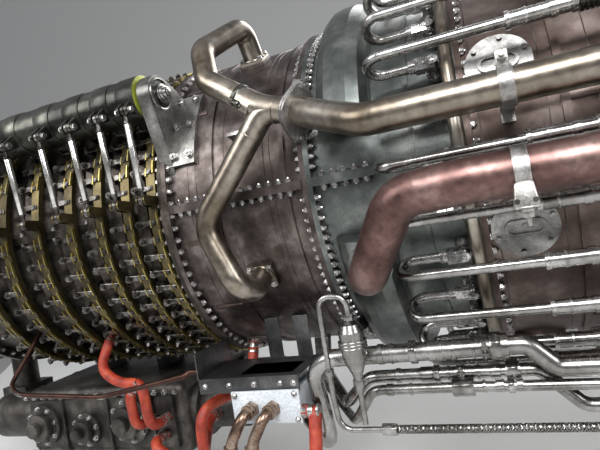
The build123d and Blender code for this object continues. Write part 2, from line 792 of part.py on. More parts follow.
def power_r(x):
    """Inner radius of the power turbine case at a station."""
    share = (x - x_power) / power_case_length
    inner = power_inlet_r - 14
    return inner + (power_outlet_r - power_wall - inner) * share


def make_power_turbine_case():
    x0, x1 = x_power, x_exhaust
    cone = [(x0, power_r(x0)), (x1, power_r(x1)), (x1, power_outlet_r), (x0, power_inlet_r)]
    front = block(x0, x0 + flange_thickness, power_inlet_r - 14, power_inlet_r + 24)
    rear = block(x1 - flange_thickness, x1, power_r(x1), power_outlet_r + 24)
    ribs = []
    for k in range(1, 6):
        x = x0 + k * power_case_length / 6
        ribs.append(block(x - 5, x + 5, power_r(x) + 4, power_r(x) + power_wall + 14))
    save("power_turbine_case", turned(cone, front, rear, *ribs))


exhaust_hub_r = 300


def make_exhaust_frame():
    r = power_outlet_r
    outer = turned(
        block(x_exhaust, x_tail, r - 12, r),
        block(x_exhaust, x_exhaust + flange_thickness, r - 12, r + 24),
        block(x_tail - flange_thickness, x_tail, r - 12, r + 40),
    )
    hub = turned(block(x_exhaust + 20, x_tail, exhaust_hub_r - 14, exhaust_hub_r))
    web = turned(block(x_tail - 160, x_tail - 110, power_shaft_r + clearance, exhaust_hub_r - 8))
    middle = (x_exhaust + x_tail) / 2
    strut = Pos(middle, 0, exhaust_hub_r - 8) * extrude(Ellipse(130, 20), r - exhaust_hub_r)
    struts = [around(a) * strut for a in spread(6, 90)]
    lug = hull_plate(middle - 25, 50, [(0, r + 50), (0, r - 4)], (34, 60)) - axial(0, x_coupling, 0, 0, r - 6)
    eye = axial(middle - 30, middle + 30, 0, r + 50, 15)
    lugs = [Rot(X=a) * (lug - eye) for a in (-35, 35)]
    hole_r = r + 25
    holes = [
        around(a) * axial(x_tail - flange_thickness - 1, x_tail + 1, 0, hole_r, exhaust_hole_r)
        for a in spread(exhaust_bolts, 5)
    ]
    save("exhaust_frame", joined([outer, hub, web] + struts + lugs) - holes)


# Rotors
def make_compressor_rotor():
    start = x_front + 30
    end = x_main + 10
    drum = [
        (start, drum_r(start) - drum_wall),
        (end, drum_r(end) - drum_wall),
        (end, drum_r(end)),
        (start, drum_r(start)),
    ]
    shaft_start = x_front - 200
    shaft_end = x_turbine + 60
    bore = main_shaft_r - 18
    parts = [
        drum,
        block(start, start + 16, bore, drum_r(start)),
        block(end - 16, end, bore, drum_r(end)),
        block(shaft_start, shaft_end, bore, main_shaft_r),
    ]
    rows = blade_stations()
    parts += [block(x - 8, x + 8, drum_r(x) - 2, gas_path_r - tip_clearance) for x in rows[1:]]
    body = turned(*parts)
    first = rows[0]
    foot = drum_r(first) - 6
    blade = Pos(first, 0, foot) * Rot(Z=40) * extrude(
        Ellipse(blade_chord / 2, 3.5), gas_path_r - tip_clearance - foot
    )
    blades = [around(a) * blade for a in spread(blade_count)]
    save("compressor_rotor", joined([body] + blades))


def blade_stations():
    """Stations of the rotor blade rows: one behind each variable vane row, then evenly."""
    rows = [spindle_x(k) + (31 if k > 4 else 48) for k in range(7)]
    first = x_rear + flange_thickness + 25
    rows += [first + 36 * k for k in range(stage_count - 7)]
    return rows


def make_gas_generator_turbine():
    start = x_turbine + 60
    bore = main_shaft_r - 18
    discs = [x_turbine + 110, x_turbine + 230]
    parts = [block(start, x_mid + 180, bore, main_shaft_r)]
    for x in discs:
        parts.append([(x - 45, main_shaft_r - 4), (x + 45, main_shaft_r - 4), (x + 14, 190),
                      (x + 26, turbine_hub_r), (x - 26, turbine_hub_r), (x - 14, 190)])
    body = turned(*parts)
    blades = []
    for x in discs:
        blade = Pos(x, 0, turbine_hub_r - 6) * Rot(Z=-35) * extrude(
            Ellipse(21, 5), turbine_tip_r - turbine_hub_r + 6
        )
        blades += [around(a) * blade for a in spread(40)]
    save("gas_generator_turbine", joined([body] + blades))


def make_power_turbine():
    parts = [block(x_power + 20, x_coupling, power_shaft_r - 30, power_shaft_r)]
    parts.append(block(x_power + 60, x_exhaust - 60, power_hub_r - 20, power_hub_r))
    parts.append(block(x_power + 380, x_power + 410, power_shaft_r - 10, power_hub_r - 5))
    parts.append(block(x_coupling - coupling_thickness, x_coupling, power_shaft_r - 30, coupling_r))
    pitch = (power_case_length - 160) / (power_stages - 1)
    for k in range(power_stages):
        x = x_power + 80 + k * pitch
        tip = power_r(x - 16) - 6
        parts.append(block(x - 16, x + 16, power_hub_r - 2, tip))
    body = turned(*parts)
    hole = axial(x_coupling - coupling_thickness - 1, x_coupling + 1, 0, coupling_pcd / 2, coupling_hole_r)
    holes = [around(a) * hole for a in spread(coupling_bolts, 15)]
    save("power_turbine_rotor", body - holes)


# Air pipes on the left side
joint_x = 30


def bleed_joint():
    """Bolted pipe joint ahead of the straight bleed pipe, and the pipe's direction there."""
    joint = Vector(x_main + joint_x, -508, 141)
    corner = Vector(x_main + 176, -straight_pipe_out, straight_pipe_up)
    return joint, (corner - joint).normalized()


def port_face(angle, reach):
    return at(x_main + port_x, reach, angle)


def make_bleed_pipes():
    low, high = port_places()
    seat = rear_case_r + 8
    joint, way = bleed_joint()
    fork = Vector(x_main - 46, -500, 164)
    low_route = [
        port_face(low, seat),
        port_face(low, seat + 112),
        Vector(x_main - 243, -492, -52),
        fork,
        joint - way * 6,
    ]
    high_route = [
        port_face(high, seat),
        port_face(high, seat + 92),
        Vector(x_main - 200, -447, 345),
        Vector(x_main - 178, -482, 262),
        fork + Vector(-20, 0, 8),
    ]
    wall = pipe_wall
    low_pipe = pipe(low_route, (45, 75, 45), manifold_pipe_r)
    high_pipe = pipe(high_route, (38, 50, 30), manifold_pipe_r)
    hollow = [pipe(low_route, (45, 75, 45), manifold_pipe_r - wall)]
    hollow.append(pipe(high_route, (38, 50, 30), manifold_pipe_r - wall))
    plates = [
        around(a) * slab(x_main + port_x - 32, x_main + port_x + 32, -29, 29, seat, seat + 7)
        for a in (low, high)
    ]
    collar = rod(joint - way * 6, joint, 45)
    save("bleed_manifold", joined([low_pipe, high_pipe, collar] + plates) - hollow)
    far, straight, port_r = aft_ports()[0]
    long_route = [
        joint + way * clearance,
        Vector(x_main + 176, -straight_pipe_out, straight_pipe_up),
        Vector(far, -straight_pipe_out, straight_pipe_up),
        at(far, power_inlet_r + 14 + clearance, straight),
    ]
    tube = pipe(long_route, (80, 60), straight_pipe_r, wall)
    collar = rod(joint + way * clearance, joint + way * 7, 45) - rod(joint, joint + way * 8, 29)
    save("bleed_pipe", tube + collar)
    far, angle, port_r = aft_ports()[1]
    recoup_route = [
        at(x_main + recoup_port_x, bulge_r + 6 + clearance, recoup_port_angle),
        at(x_main + recoup_port_x, 560, recoup_port_angle),
        Vector(x_main + 215, -recoup_pipe_out, recoup_pipe_down - 6),
        Vector(x_main + 330, -recoup_pipe_out, recoup_pipe_down),
        Vector(far, -recoup_pipe_out, recoup_pipe_down),
        at(far, power_inlet_r + 14 + clearance, angle),
    ]
    save("recoup_pipe", pipe(recoup_route, (50, 70, 200, 60), recoup_pipe_r, wall))


# Clamps and brackets that hold the pipes to the cases
clamp_x = 419
clamp_width = 24
clamp_band = 3
second_clamp_x = 780


def clamp(x, y, z, radius, seat_r):
    """Band round a pipe that runs aft, on a post from the case at radius seat_r."""
    reach = hypot(y, z)
    angle = degrees(atan2(z, -y))
    band = axial(x - clamp_width / 2, x + clamp_width / 2, 0, reach, radius + clearance + clamp_band)
    bore = axial(x - clamp_width, x + clamp_width, 0, reach, radius + clearance)
    post = slab(x - clamp_width / 2, x + clamp_width / 2, -4, 4, seat_r + clearance, reach - radius)
    foot = slab(x - clamp_width / 2, x + clamp_width / 2, -22, 22, seat_r + clearance, seat_r + 6)
    seat = axial(0, x_tail, 0, 0, seat_r + clearance)
    return around(angle) * (joined([band, post, foot]) - bore - seat)


def make_pipe_clamps():
    seats = ((clamp_x, turbine_case_r), (second_clamp_x, power_inlet_r))
    clamps = []
    for x, seat_r in seats:
        clamps.append(clamp(x_main + x, -straight_pipe_out, straight_pipe_up, straight_pipe_r, seat_r))
        clamps.append(clamp(x_main + x, -recoup_pipe_out, recoup_pipe_down, recoup_pipe_r, seat_r))
    post = slab(x_main - 172, x_main - 128, -4, 4, rear_case_r + clearance, 466)
    foot = slab(x_main - 172, x_main - 128, -26, 26, rear_case_r + clearance, rear_case_r + 8)
    bent = around(18) * (post + foot) - axial(0, x_tail, 0, 0, rear_case_r + clearance)
    save("pipe_clamps", *clamps, bent, make_pipe_bracket())


# Drain canister with its small tubes, on a bracket from the diffuser case
canister_x = 60
canister_out = 492
canister_top = -295
canister_bottom = -414
canister_r = 26
small_tube_r = 6
braid_start = 124
braid_r = 8
braid_drop = 520
sleeve_r = 14


def make_drain_canister():
    x = x_main + canister_x
    y = -canister_out
    half = make_face(Polyline(
        (0, canister_bottom), (9, canister_bottom), (11, canister_bottom + 8),
        (canister_r - 4, canister_bottom + 34), (canister_r, canister_bottom + 48),
        (canister_r, canister_top - 22), (canister_r - 5, canister_top - 8),
        (10, canister_top), (0, canister_top), close=True,
    ))
    body = Pos(x, y, 0) * revolve(Plane.XZ * half, Axis.Z)
    band_z = -343
    band = rod((x, y, band_z - 8), (x, y, band_z + 8), canister_r + 3)
    neck = rod((x, y, canister_bottom - 20), (x, y, canister_bottom), 10)
    loop = [
        (x, y, canister_top - 5),
        (x, y, canister_top + 48),
        (x - 60, y, canister_top + 54),
        (x - 60, y, -450),
        (x - 54, y, -braid_drop),
        (x_main + braid_start, y, -braid_drop),
    ]
    tube = pipe(loop, (22, 22, 60, 30), small_tube_r)
    drain = rod((x, y, canister_bottom - 95), (x, y, canister_bottom - 15), small_tube_r)
    nut = axial(x_main + braid_start - 28, x_main + braid_start, y, -braid_drop, small_tube_r + 5)
    plate = slab(x_main + 26, x, y + 22, y + 28, band_z - 18, band_z + 18)
    arm = slab(x_main + 26, x_main + 32, y + 22, -200, band_z - 17, band_z + 17)
    arm = arm - axial(0, x_tail, 0, 0, diffuser_r + clearance)
    save("drain_canister", joined([body, band, neck, tube, drain, nut, plate, arm]))


# Service pipes and the braided line along the lower left side. Each pipe is a run aft at
# its own height, with ends that turn in to the cases.
pipe_out = 440
fuel_pipe_r = 19
drain_pipe_r = 13.5
drain_pipe_back = 28
vent_pipe_r = 10.5
bracket_x = 620


def turned_in(x, out, z, radius):
    """Point straight in towards the axis from a pipe at (out, z), at a radius."""
    share = radius / hypot(out, z)
    return Vector(x, -out * share, z * share)


def make_service_pipes():
    y = -pipe_out
    drain_y = y + drain_pipe_back
    end = x_main + pipe_aft_x + 20
    wall_r = power_inlet_r + clearance
    case_r = rear_case_r + clearance
    pump_z = gearbox_top - gearbox_height / 2
    fuel = [
        (gearbox_rear + pump_length + clearance, -pump_out, pump_z),
        (gearbox_rear + 300, -pump_out, pump_z),
        (x_main - 60, y + 50, -600),
        (x_main - 60, y, -384),
        (x_main + 385, y, -381),
        (x_main + 432, y, -428),
        (end - 120, y, -431),
        turned_in(end - 120, pipe_out, -431, wall_r),
    ]
    drain = [
        at(x_main - 120, case_r, -69),
        at(x_main - 120, 520, -69),
        (x_main - 10, y + 60, -505),
        (x_main + 60, drain_y, -438),
        (x_main + 400, drain_y, -438),
        (x_main + 470, drain_y, -511),
        (end, drain_y, -514),
        turned_in(end, -drain_y, -514, wall_r),
    ]
    vent = [
        at(x_main - 170, case_r, -78),
        at(x_main - 170, 540, -78),
        (x_main + 10, y + 40, -540),
        (x_main + 70, y, -458),
        (x_main + 235, y, -458),
        (end - 60, y, -468),
        turned_in(end - 60, pipe_out, -468, wall_r),
    ]
    runs = [
        pipe(fuel, (60, 60, 60, 30, 30, 40), fuel_pipe_r) + axial(x_main + 320, x_main + 352, y, -381.5, 25),
        pipe(drain, (40, 40, 40, 34, 34, 40), drain_pipe_r) + axial(x_main + 340, x_main + 366, drain_y, -438, 18.5),
        pipe(vent, (40, 40, 40, 60, 40), vent_pipe_r) + axial(x_main + 240, x_main + 276, y, -458.7, 14.5),
    ]
    sensing = [
        at(gearbox_legs[0], front_case_r + clearance, -44),
        at(gearbox_legs[0], 590, -44),
        (gearbox_legs[0] + 50, y, -431),
        (gearbox_legs[0] + 345, y, -448),
        (gearbox_legs[0] + 615, y, -405),
        (tray_front - 36, y + 8, -398),
        (tray_front - clearance, y + 8, -398),
    ]
    runs.append(pipe(sensing, (30, 30, 60, 20, 12), 6))
    save("service_pipes", *runs)
    hose = [
        (x_main + braid_start + clearance, -canister_out, -braid_drop),
        (end + 40, -canister_out, -braid_drop),
        turned_in(end + 40, canister_out, -braid_drop, wall_r),
    ]
    save("flexible_lines", pipe(hose, 50, braid_r), *sleeved_hoses())


def sleeved_hoses():
    """Hoses in fire sleeves between the cases and the gearbox, each with its end fittings."""
    face = -(gearbox_half_width + 14 + clearance)
    forked = [
        at(1190, front_case_r + clearance, -50.5),
        at(1190, 520, -50.5),
        (1272, -352, -440),
        (1352, -356, -440),
        (1352, -350, -570),
        (1352, face, -570),
    ]
    branch = [(1330, -355, -440), (1300, -352, -470), (1300, -345, -570), (1300, face, -570)]
    drain = [
        at(x_rear + 50, rear_case_r + clearance, -64),
        at(x_rear + 50, 545, -64),
        (1552, -396, -507),
        (1545, -400, -625),
        (1480, -262, -585),
        (1480, -pump_out - 62 - clearance, -585),
    ]
    vent = [
        (tray_front + box_reach + clearance, -454, -492),
        (tray_front + box_reach + 30, -454, -492),
        (1886, -490, -600),
        (1800, -420, -655),
        (1400, -342, -655),
        (1335, -335, -620),
        (1335, face, -620),
    ]
    hoses = [
        joined([pipe(forked, (35, 50, 45, 40), sleeve_r), pipe(branch, 25, sleeve_r)]),
        pipe(drain, (30, 40, 40, 30), sleeve_r),
        pipe(vent, (22, 45, 90, 40, 25), sleeve_r),
    ]
    return hoses


def make_pipe_bracket():
    """Plate on the turbine case with a bore round each service pipe and the braided line."""
    x = x_main + bracket_x
    root = at(x, turbine_case_r, -42.75)
    centres = [(-pipe_out, -429.5), (-pipe_out, -464.2), (drain_pipe_back - pipe_out, -512.2)]
    centres.append((-canister_out, -braid_drop))
    radii = (fuel_pipe_r, vent_pipe_r, drain_pipe_r, braid_r)
    web = hull_plate(x, 8, [(root.Y, root.Z)] + centres[:2], (12, 25, 16))
    link = hull_plate(x, 8, centres[1:], (16, 18, 14))
    bores = [axial(x - 1, x + 9, *place, r + clearance) for place, r in zip(centres, radii)]
    return web + link - axial(0, x_tail, 0, 0, turbine_case_r + clearance) - bores


# Accessory gearbox under the front case, with its pumps, and the drive housing from the
# front frame
gearbox_top = -480
gearbox_height = 210
gearbox_half_width = 250
gearbox_front = x_front + 120
gearbox_rear = gearbox_front + 620
gearbox_legs = (940, 1190)
pump_out = 140
pump_length = 150


def make_gearbox():
    x0, x1 = gearbox_front, gearbox_rear
    w = gearbox_half_width
    z1 = gearbox_top
    z0 = gearbox_top - gearbox_height
    middle = (z0 + z1) / 2
    housing = fillet(slab(x0, x1, -w, w, z0, z1).edges(), 25)
    cover = slab(x0 + 30, x1 - 30, -w - 14, w + 14, z0 + 30, z1 - 30)
    pads = [axial(x1 - 5, x1 + 18, y, middle, 85) for y in (-pump_out, pump_out)]
    pumps = [axial(x1, x1 + pump_length, y, middle, 62) for y in (-pump_out, pump_out)]
    starters = [axial(x0 - 190, x0 + 5, y, middle, r) for y, r in ((-165, 75), (150, 55))]
    case = axial(0, x_tail, 0, 0, front_case_r + clearance)
    legs = [slab(x - 12, x + 12, -60, 60, z1 - 5, 40 - front_case_r) - case for x in gearbox_legs]
    drive_x = x_frame + front_frame_length / 2
    drive = rod((drive_x, 0, 10 - front_case_r), (drive_x, 0, middle), 45) - case
    bevel = slab(drive_x - 60, drive_x + 60, -65, 65, z0 + 40, z0 + 170)
    shaft = axial(drive_x, x0 + 5, 0, middle, 48)
    save("accessory_gearbox", joined([housing, cover] + pads + pumps + starters + legs + [drive, bevel, shaft]))


# Folded sheet tray with the junction box, under the rear case
tray_front = x_main - 350
tray_rear = x_main - 60
box_reach = 258


def make_tray():
    x0, x1 = tray_front, tray_rear
    y0, y1 = -450, -290
    box_end = x0 + box_reach
    base = slab(x0, x1 - 30, y0, y1, -416, -412)
    lip = slab(x0, x1 - 30, y0 - 4, y0, -447, -412)
    plate = slab(x0, x0 + 4, y0 - 4, y1, -447, -350)
    ears = [slab(x0 + a, x0 + a + 40, y1 - 4, y1, -416, -280) for a in (120, 200)]
    box = slab(x0 + 92, box_end, y0 - 14, y1 - 30, -514, -443)
    seat = slab(x0 + 100, box_end - 20, y0 + 20, y1 - 50, -445, -412)
    elbows = []
    for x in (x0 + 141, x0 + 194):
        path = [(x, y0 - 10, -480), (x - 6, y0 - 58, -484), (x - 44, y0 - 60, -545), (x - 48, y0 - 52, -620)]
        elbows.append(pipe(path, (20, 22), 13))
        elbows.append(rod((x, y0 - 12, -480), (x - 2, y0 - 34, -482), 19))
    whole = joined([base, lip, plate, box, seat] + ears + elbows)
    save("instrument_tray", whole - axial(0, x_tail, 0, 0, rear_case_r + clearance))


os.makedirs("parts", exist_ok=True)
make_inlet()
make_front_frame()
make_front_case(1, "front_case_upper")
make_front_case(-1, "front_case_lower")
make_levers()
for stage in range(7):
    make_unison_ring(stage)
    make_link(stage)
make_torque_shafts()
make_shaft_brackets()
make_actuators()
make_rear_case(1, "rear_case_upper")
make_rear_case(-1, "rear_case_lower")
make_diffuser_case(1, "diffuser_case_upper")
make_diffuser_case(-1, "diffuser_case_lower")
make_casing_bolts()
make_combustor()
make_fuel_system()
make_turbine_case()
make_mid_frame()
make_power_turbine_case()
make_exhaust_frame()
make_compressor_rotor()
make_gas_generator_turbine()
make_power_turbine()
make_bleed_pipes()
make_pipe_clamps()
make_drain_canister()
make_service_pipes()
make_gearbox()
make_tray()
print(len(written), "nodes written")
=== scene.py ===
# %% [markdown]
# # A gas turbine, dressed for the camera
#
# The engine's cases, rotors, rings and pipes are already exact solids. This lesson
# loads them as a fixed frame, gives each one its metal, and adds what a solid model
# leaves out: nuts, slotted ring edges, levers, foils, bands, welds and sleeves.
# Distances are in metres. X runs aft along the shaft, Z is up, and the side with the
# big air pipes looks towards -Y.

# %% Load the engine
from math import cos, radians, sin

import bmesh
import bpy
from mathutils import Matrix, Vector


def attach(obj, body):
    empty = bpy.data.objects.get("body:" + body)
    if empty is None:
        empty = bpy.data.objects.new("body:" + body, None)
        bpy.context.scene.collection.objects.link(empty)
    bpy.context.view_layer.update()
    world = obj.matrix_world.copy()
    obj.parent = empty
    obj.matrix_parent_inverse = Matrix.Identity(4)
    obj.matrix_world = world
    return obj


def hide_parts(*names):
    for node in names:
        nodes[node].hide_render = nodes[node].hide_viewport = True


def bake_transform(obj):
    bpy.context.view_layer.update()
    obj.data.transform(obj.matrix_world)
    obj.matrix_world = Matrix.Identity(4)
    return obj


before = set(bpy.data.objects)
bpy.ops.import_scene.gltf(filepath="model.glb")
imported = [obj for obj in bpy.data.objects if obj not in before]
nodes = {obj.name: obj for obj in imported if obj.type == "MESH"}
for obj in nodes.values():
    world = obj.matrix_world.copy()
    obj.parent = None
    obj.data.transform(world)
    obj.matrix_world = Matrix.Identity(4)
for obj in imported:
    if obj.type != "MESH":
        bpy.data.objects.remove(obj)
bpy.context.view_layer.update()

# %% [markdown]
# The camera stands close to the left side, near the main bolted flange, and leans to
# one side, so that the shaft climbs from left to right across the picture. Its lens
# came from fitting the round flanges and the straight pipes.

# %% Camera
lens = bpy.data.cameras.new("lens")
lens.sensor_width = 36
lens.lens = 31.16
lens.clip_start = 0.05
camera = bpy.data.objects.new("camera", lens)
camera.location = (2.3321, -1.5026, -0.0973)
camera.rotation_euler = [radians(a) for a in (90.528, 9.3346, 21.3586)]
bpy.context.scene.collection.objects.link(camera)
bpy.context.scene.camera = camera

# %% [markdown]
# Bright metal is mostly a picture of its room. Four soft boxes over and beside the
# engine, a floor below and a sky that darkens towards the ground give the tubes one
# bright line each and leave their undersides dark, as in a workshop.

# %% Light, sky and floor
def soft_box(name, place, aim, size, power):
    """A large area lamp that looks at a point."""
    bpy.ops.object.light_add(type="AREA", location=place)
    lamp = bpy.context.object
    lamp.name = name
    lamp.data.size = size
    lamp.data.energy = power
    lamp.rotation_euler = (Vector(aim) - Vector(place)).to_track_quat("-Z", "Y").to_euler()


soft_box("box_over_camera", (2.5, -2.9, 1.9), (2.1, -0.3, 0.0), 1.3, 135)
soft_box("box_ahead", (-0.8, -3.2, 2.2), (1.4, 0, 0), 2.2, 120)
soft_box("box_behind", (3.0, 3.4, 3.0), (2.2, 0, 0), 2.6, 150)
soft_box("box_aft", (6.6, -2.4, 1.8), (3.6, 0, 0), 2.0, 110)

sky = bpy.data.worlds.new("sky")
sky.use_nodes = True
bpy.context.scene.world = sky
bpy.context.scene.view_settings.view_transform = "Standard"
ground = sky.node_tree
back = ground.nodes["Background"]
place = ground.nodes.new("ShaderNodeTexCoord")
split = ground.nodes.new("ShaderNodeSeparateXYZ")
ramp = ground.nodes.new("ShaderNodeValToRGB")
ramp.color_ramp.elements[0].position = 0.30
ramp.color_ramp.elements[0].color = (0.10, 0.10, 0.11, 1)
ramp.color_ramp.elements[1].position = 0.95
ramp.color_ramp.elements[1].color = (0.95, 0.96, 1.0, 1)
middle = ramp.color_ramp.elements.new(0.55)
middle.color = (0.42, 0.43, 0.45, 1)
lift = ground.nodes.new("ShaderNodeMath")
lift.operation = "MULTIPLY_ADD"
lift.inputs[1].default_value = 0.5
lift.inputs[2].default_value = 0.5
ground.links.new(place.outputs["Generated"], split.inputs[0])
ground.links.new(split.outputs["Z"], lift.inputs[0])
ground.links.new(lift.outputs[0], ramp.inputs[0])
ground.links.new(ramp.outputs[0], back.inputs["Color"])
back.inputs["Strength"].default_value = 0.6

# %% [markdown]
# A metal here is a principled surface with two noises on Object coordinates. Large
# cloudy patches change the colour. Fine streaks darken it in lines, change the polish
# and raise a small bump that breaks up the highlights. Object coordinates are metres,
# so a scale of 40 means spots about 25 millimetres across on every piece alike.

# %% A worn metal
def new_node(tree, kind, settings):
    """A node with some of its inputs set by name."""
    made = tree.nodes.new(kind)
    for name, value in settings.items():
        made.inputs[name].default_value = value
    return made


def metal(name, colours, rough, patch=14, streak=(1, 1, 1), grain=260, bump=0.12, metallic=0.9):
    """A worn metal of two or three colours, streaked along the axis of the smallest factor."""
    finish = bpy.data.materials.new(name)
    finish.use_nodes = True
    tree = finish.node_tree
    shader = tree.nodes["Principled BSDF"]
    where = tree.nodes.new("ShaderNodeTexCoord")
    stretch = new_node(tree, "ShaderNodeMapping", {"Scale": streak})
    tree.links.new(where.outputs["Object"], stretch.inputs["Vector"])
    clouds = new_node(tree, "ShaderNodeTexNoise", {"Scale": patch, "Detail": 6, "Roughness": 0.62})
    lines = new_node(tree, "ShaderNodeTexNoise", {"Scale": grain, "Detail": 3})
    tree.links.new(where.outputs["Object"], clouds.inputs["Vector"])
    tree.links.new(stretch.outputs[0], lines.inputs["Vector"])
    tint = tree.nodes.new("ShaderNodeValToRGB")
    for k, colour in enumerate(colours):
        share = 0.34 + 0.32 * k / (len(colours) - 1)
        stop = tint.color_ramp.elements[k] if k < 2 else tint.color_ramp.elements.new(share)
        stop.position = share
        stop.color = (*colour, 1)
    tree.links.new(clouds.outputs["Fac"], tint.inputs[0])
    wear = tree.nodes.new("ShaderNodeMix")
    wear.data_type = "RGBA"
    wear.blend_type = "MULTIPLY"
    wear.inputs["Factor"].default_value = 0.55
    tree.links.new(tint.outputs[0], wear.inputs["A"])
    scratch = tree.nodes.new("ShaderNodeValToRGB")
    scratch.color_ramp.elements[0].position = 0.30
    scratch.color_ramp.elements[0].color = (0.62, 0.62, 0.62, 1)
    scratch.color_ramp.elements[1].position = 0.62
    scratch.color_ramp.elements[1].color = (1.25, 1.25, 1.25, 1)
    tree.links.new(lines.outputs["Fac"], scratch.inputs[0])
    tree.links.new(scratch.outputs[0], wear.inputs["B"])
    tree.links.new(wear.outputs["Result"], shader.inputs["Base Color"])
    polish = new_node(tree, "ShaderNodeMapRange", {"To Min": rough * 0.75, "To Max": rough * 1.35})
    tree.links.new(lines.outputs["Fac"], polish.inputs["Value"])
    tree.links.new(polish.outputs[0], shader.inputs["Roughness"])
    dents = new_node(tree, "ShaderNodeBump", {"Strength": bump, "Distance": 0.002})
    tree.links.new(lines.outputs["Fac"], dents.inputs["Height"])
    tree.links.new(dents.outputs[0], shader.inputs["Normal"])
    shader.inputs["Metallic"].default_value = metallic
    return finish


# %% [markdown]
# The vane drive is dark and oily, the cases are brown and green-grey, and tubes and
# links are the brightest. Each finish names its colours from dark to light, and then
# how rough it is.

# %% The engine's metals
dark_steel = metal(
    "dark_vane_steel", [(0.018, 0.016, 0.014), (0.05, 0.043, 0.036), (0.12, 0.10, 0.085)],
    0.40, patch=22,
)
ring_dark = metal(
    "dark_ring_steel", [(0.035, 0.028, 0.016), (0.085, 0.068, 0.034), (0.16, 0.13, 0.06)],
    0.36, patch=9, grain=180,
)
edge_gold = metal(
    "bright_ring_edge", [(0.17, 0.13, 0.035), (0.36, 0.29, 0.085), (0.42, 0.38, 0.20)],
    0.30, patch=16,
)
nut_steel = metal(
    "bright_nut_steel", [(0.13, 0.12, 0.115), (0.34, 0.33, 0.32), (0.58, 0.57, 0.56)],
    0.26, patch=60,
)
lever_steel = metal(
    "oily_lever_steel", [(0.025, 0.022, 0.019), (0.085, 0.078, 0.07), (0.25, 0.24, 0.23)],
    0.30, patch=45,
)
link_steel = metal(
    "polished_link_steel", [(0.42, 0.40, 0.37), (0.68, 0.67, 0.66)],
    0.16, patch=18, grain=90, bump=0.02,
)
shaft_steel = metal(
    "oiled_steel_and_painted_shade", [(0.022, 0.022, 0.02), (0.055, 0.055, 0.048), (0.13, 0.13, 0.11)],
    0.30, patch=12,
)
chromate = metal(
    "yellow_chromate", [(0.15, 0.17, 0.02), (0.33, 0.36, 0.05)],
    0.42, patch=20, metallic=0.5,
)
brown_steel = metal(
    "brown_case_steel", [(0.040, 0.031, 0.028), (0.085, 0.069, 0.063), (0.20, 0.172, 0.162)],
    0.36, patch=15, streak=(1.2, 30, 30),
)
brown_hot = metal(
    "hot_case_steel", [(0.048, 0.033, 0.028), (0.115, 0.086, 0.076), (0.24, 0.195, 0.18)],
    0.36, patch=8, streak=(1.5, 24, 24),
)
green_steel = metal(
    "blue_green_case_steel", [(0.05, 0.056, 0.053), (0.115, 0.126, 0.120), (0.24, 0.25, 0.24)],
    0.28, patch=9, streak=(1, 14, 14),
)
flange_steel = metal(
    "pale_flange_steel", [(0.14, 0.13, 0.125), (0.27, 0.26, 0.25), (0.44, 0.43, 0.42)],
    0.32, patch=26,
)
tube_steel = metal(
    "drawn_tube_steel", [(0.15, 0.142, 0.13), (0.29, 0.282, 0.27), (0.46, 0.455, 0.445)],
    0.25, patch=7, grain=60, bump=0.02, metallic=1.0,
)
warm_tube = metal(
    "heat_tinted_tube", [(0.12, 0.095, 0.07), (0.24, 0.21, 0.172), (0.41, 0.38, 0.335)],
    0.30, patch=5, grain=60, bump=0.02, metallic=1.0,
)
red_tube = metal(
    "red_brown_tube", [(0.070, 0.038, 0.034), (0.14, 0.080, 0.072), (0.25, 0.17, 0.155)],
    0.36, patch=9, grain=80, bump=0.03, metallic=0.85,
)
casting = metal(
    "grey_casting", [(0.06, 0.056, 0.052), (0.13, 0.124, 0.116), (0.24, 0.23, 0.215)],
    0.46, patch=12, grain=420, bump=0.3, metallic=0.7,
)
gear_iron = metal(
    "dark_gearbox_casting", [(0.022, 0.019, 0.017), (0.055, 0.050, 0.045), (0.13, 0.12, 0.11)],
    0.42, patch=12, grain=420, bump=0.3, metallic=0.7,
)
cover_steel = metal(
    "scuffed_cover_steel", [(0.09, 0.088, 0.083), (0.19, 0.187, 0.18), (0.36, 0.355, 0.345)],
    0.30, patch=22,
)
brown_line = metal("brown_small_pipe", [(0.035, 0.016, 0.012), (0.085, 0.042, 0.032)], 0.34, patch=30)
bracket_steel = metal(
    "worn_bracket_steel", [(0.10, 0.097, 0.09), (0.20, 0.195, 0.185), (0.36, 0.35, 0.335)],
    0.32, patch=14, grain=120, bump=0.05,
)
sheet_steel = metal(
    "dull_sheet", [(0.035, 0.035, 0.036), (0.08, 0.08, 0.082), (0.17, 0.165, 0.16)],
    0.36, patch=6,
)
box_paint = metal(
    "pale_box_paint", [(0.40, 0.43, 0.46), (0.54, 0.57, 0.60)],
    0.42, patch=9, metallic=0.1, bump=0.04,
)
bronze = metal(
    "bronze_fitting", [(0.08, 0.05, 0.035), (0.20, 0.135, 0.10), (0.40, 0.32, 0.26)],
    0.28, patch=24,
)
inlet_skin = metal(
    "smooth_inlet_skin", [(0.36, 0.36, 0.36), (0.46, 0.46, 0.46)],
    0.36, patch=4, bump=0.05,
)
blade_steel = metal("machined_blades", [(0.20, 0.20, 0.20), (0.36, 0.36, 0.35)], 0.32, patch=20)
strap_steel = metal("pale_strap_steel", [(0.30, 0.285, 0.26), (0.52, 0.505, 0.48)], 0.30, patch=30)
sleeve_orange = metal(
    "orange_fire_sleeve", [(0.16, 0.014, 0.006), (0.28, 0.026, 0.010), (0.38, 0.06, 0.022)],
    0.50, patch=30, grain=500, bump=0.3, metallic=0.0,
)
print(len(bpy.data.materials), "finishes")

# %% [markdown]
# Each solid keeps its shape and takes one of the metals. The list reads from the
# inlet to the coupling.

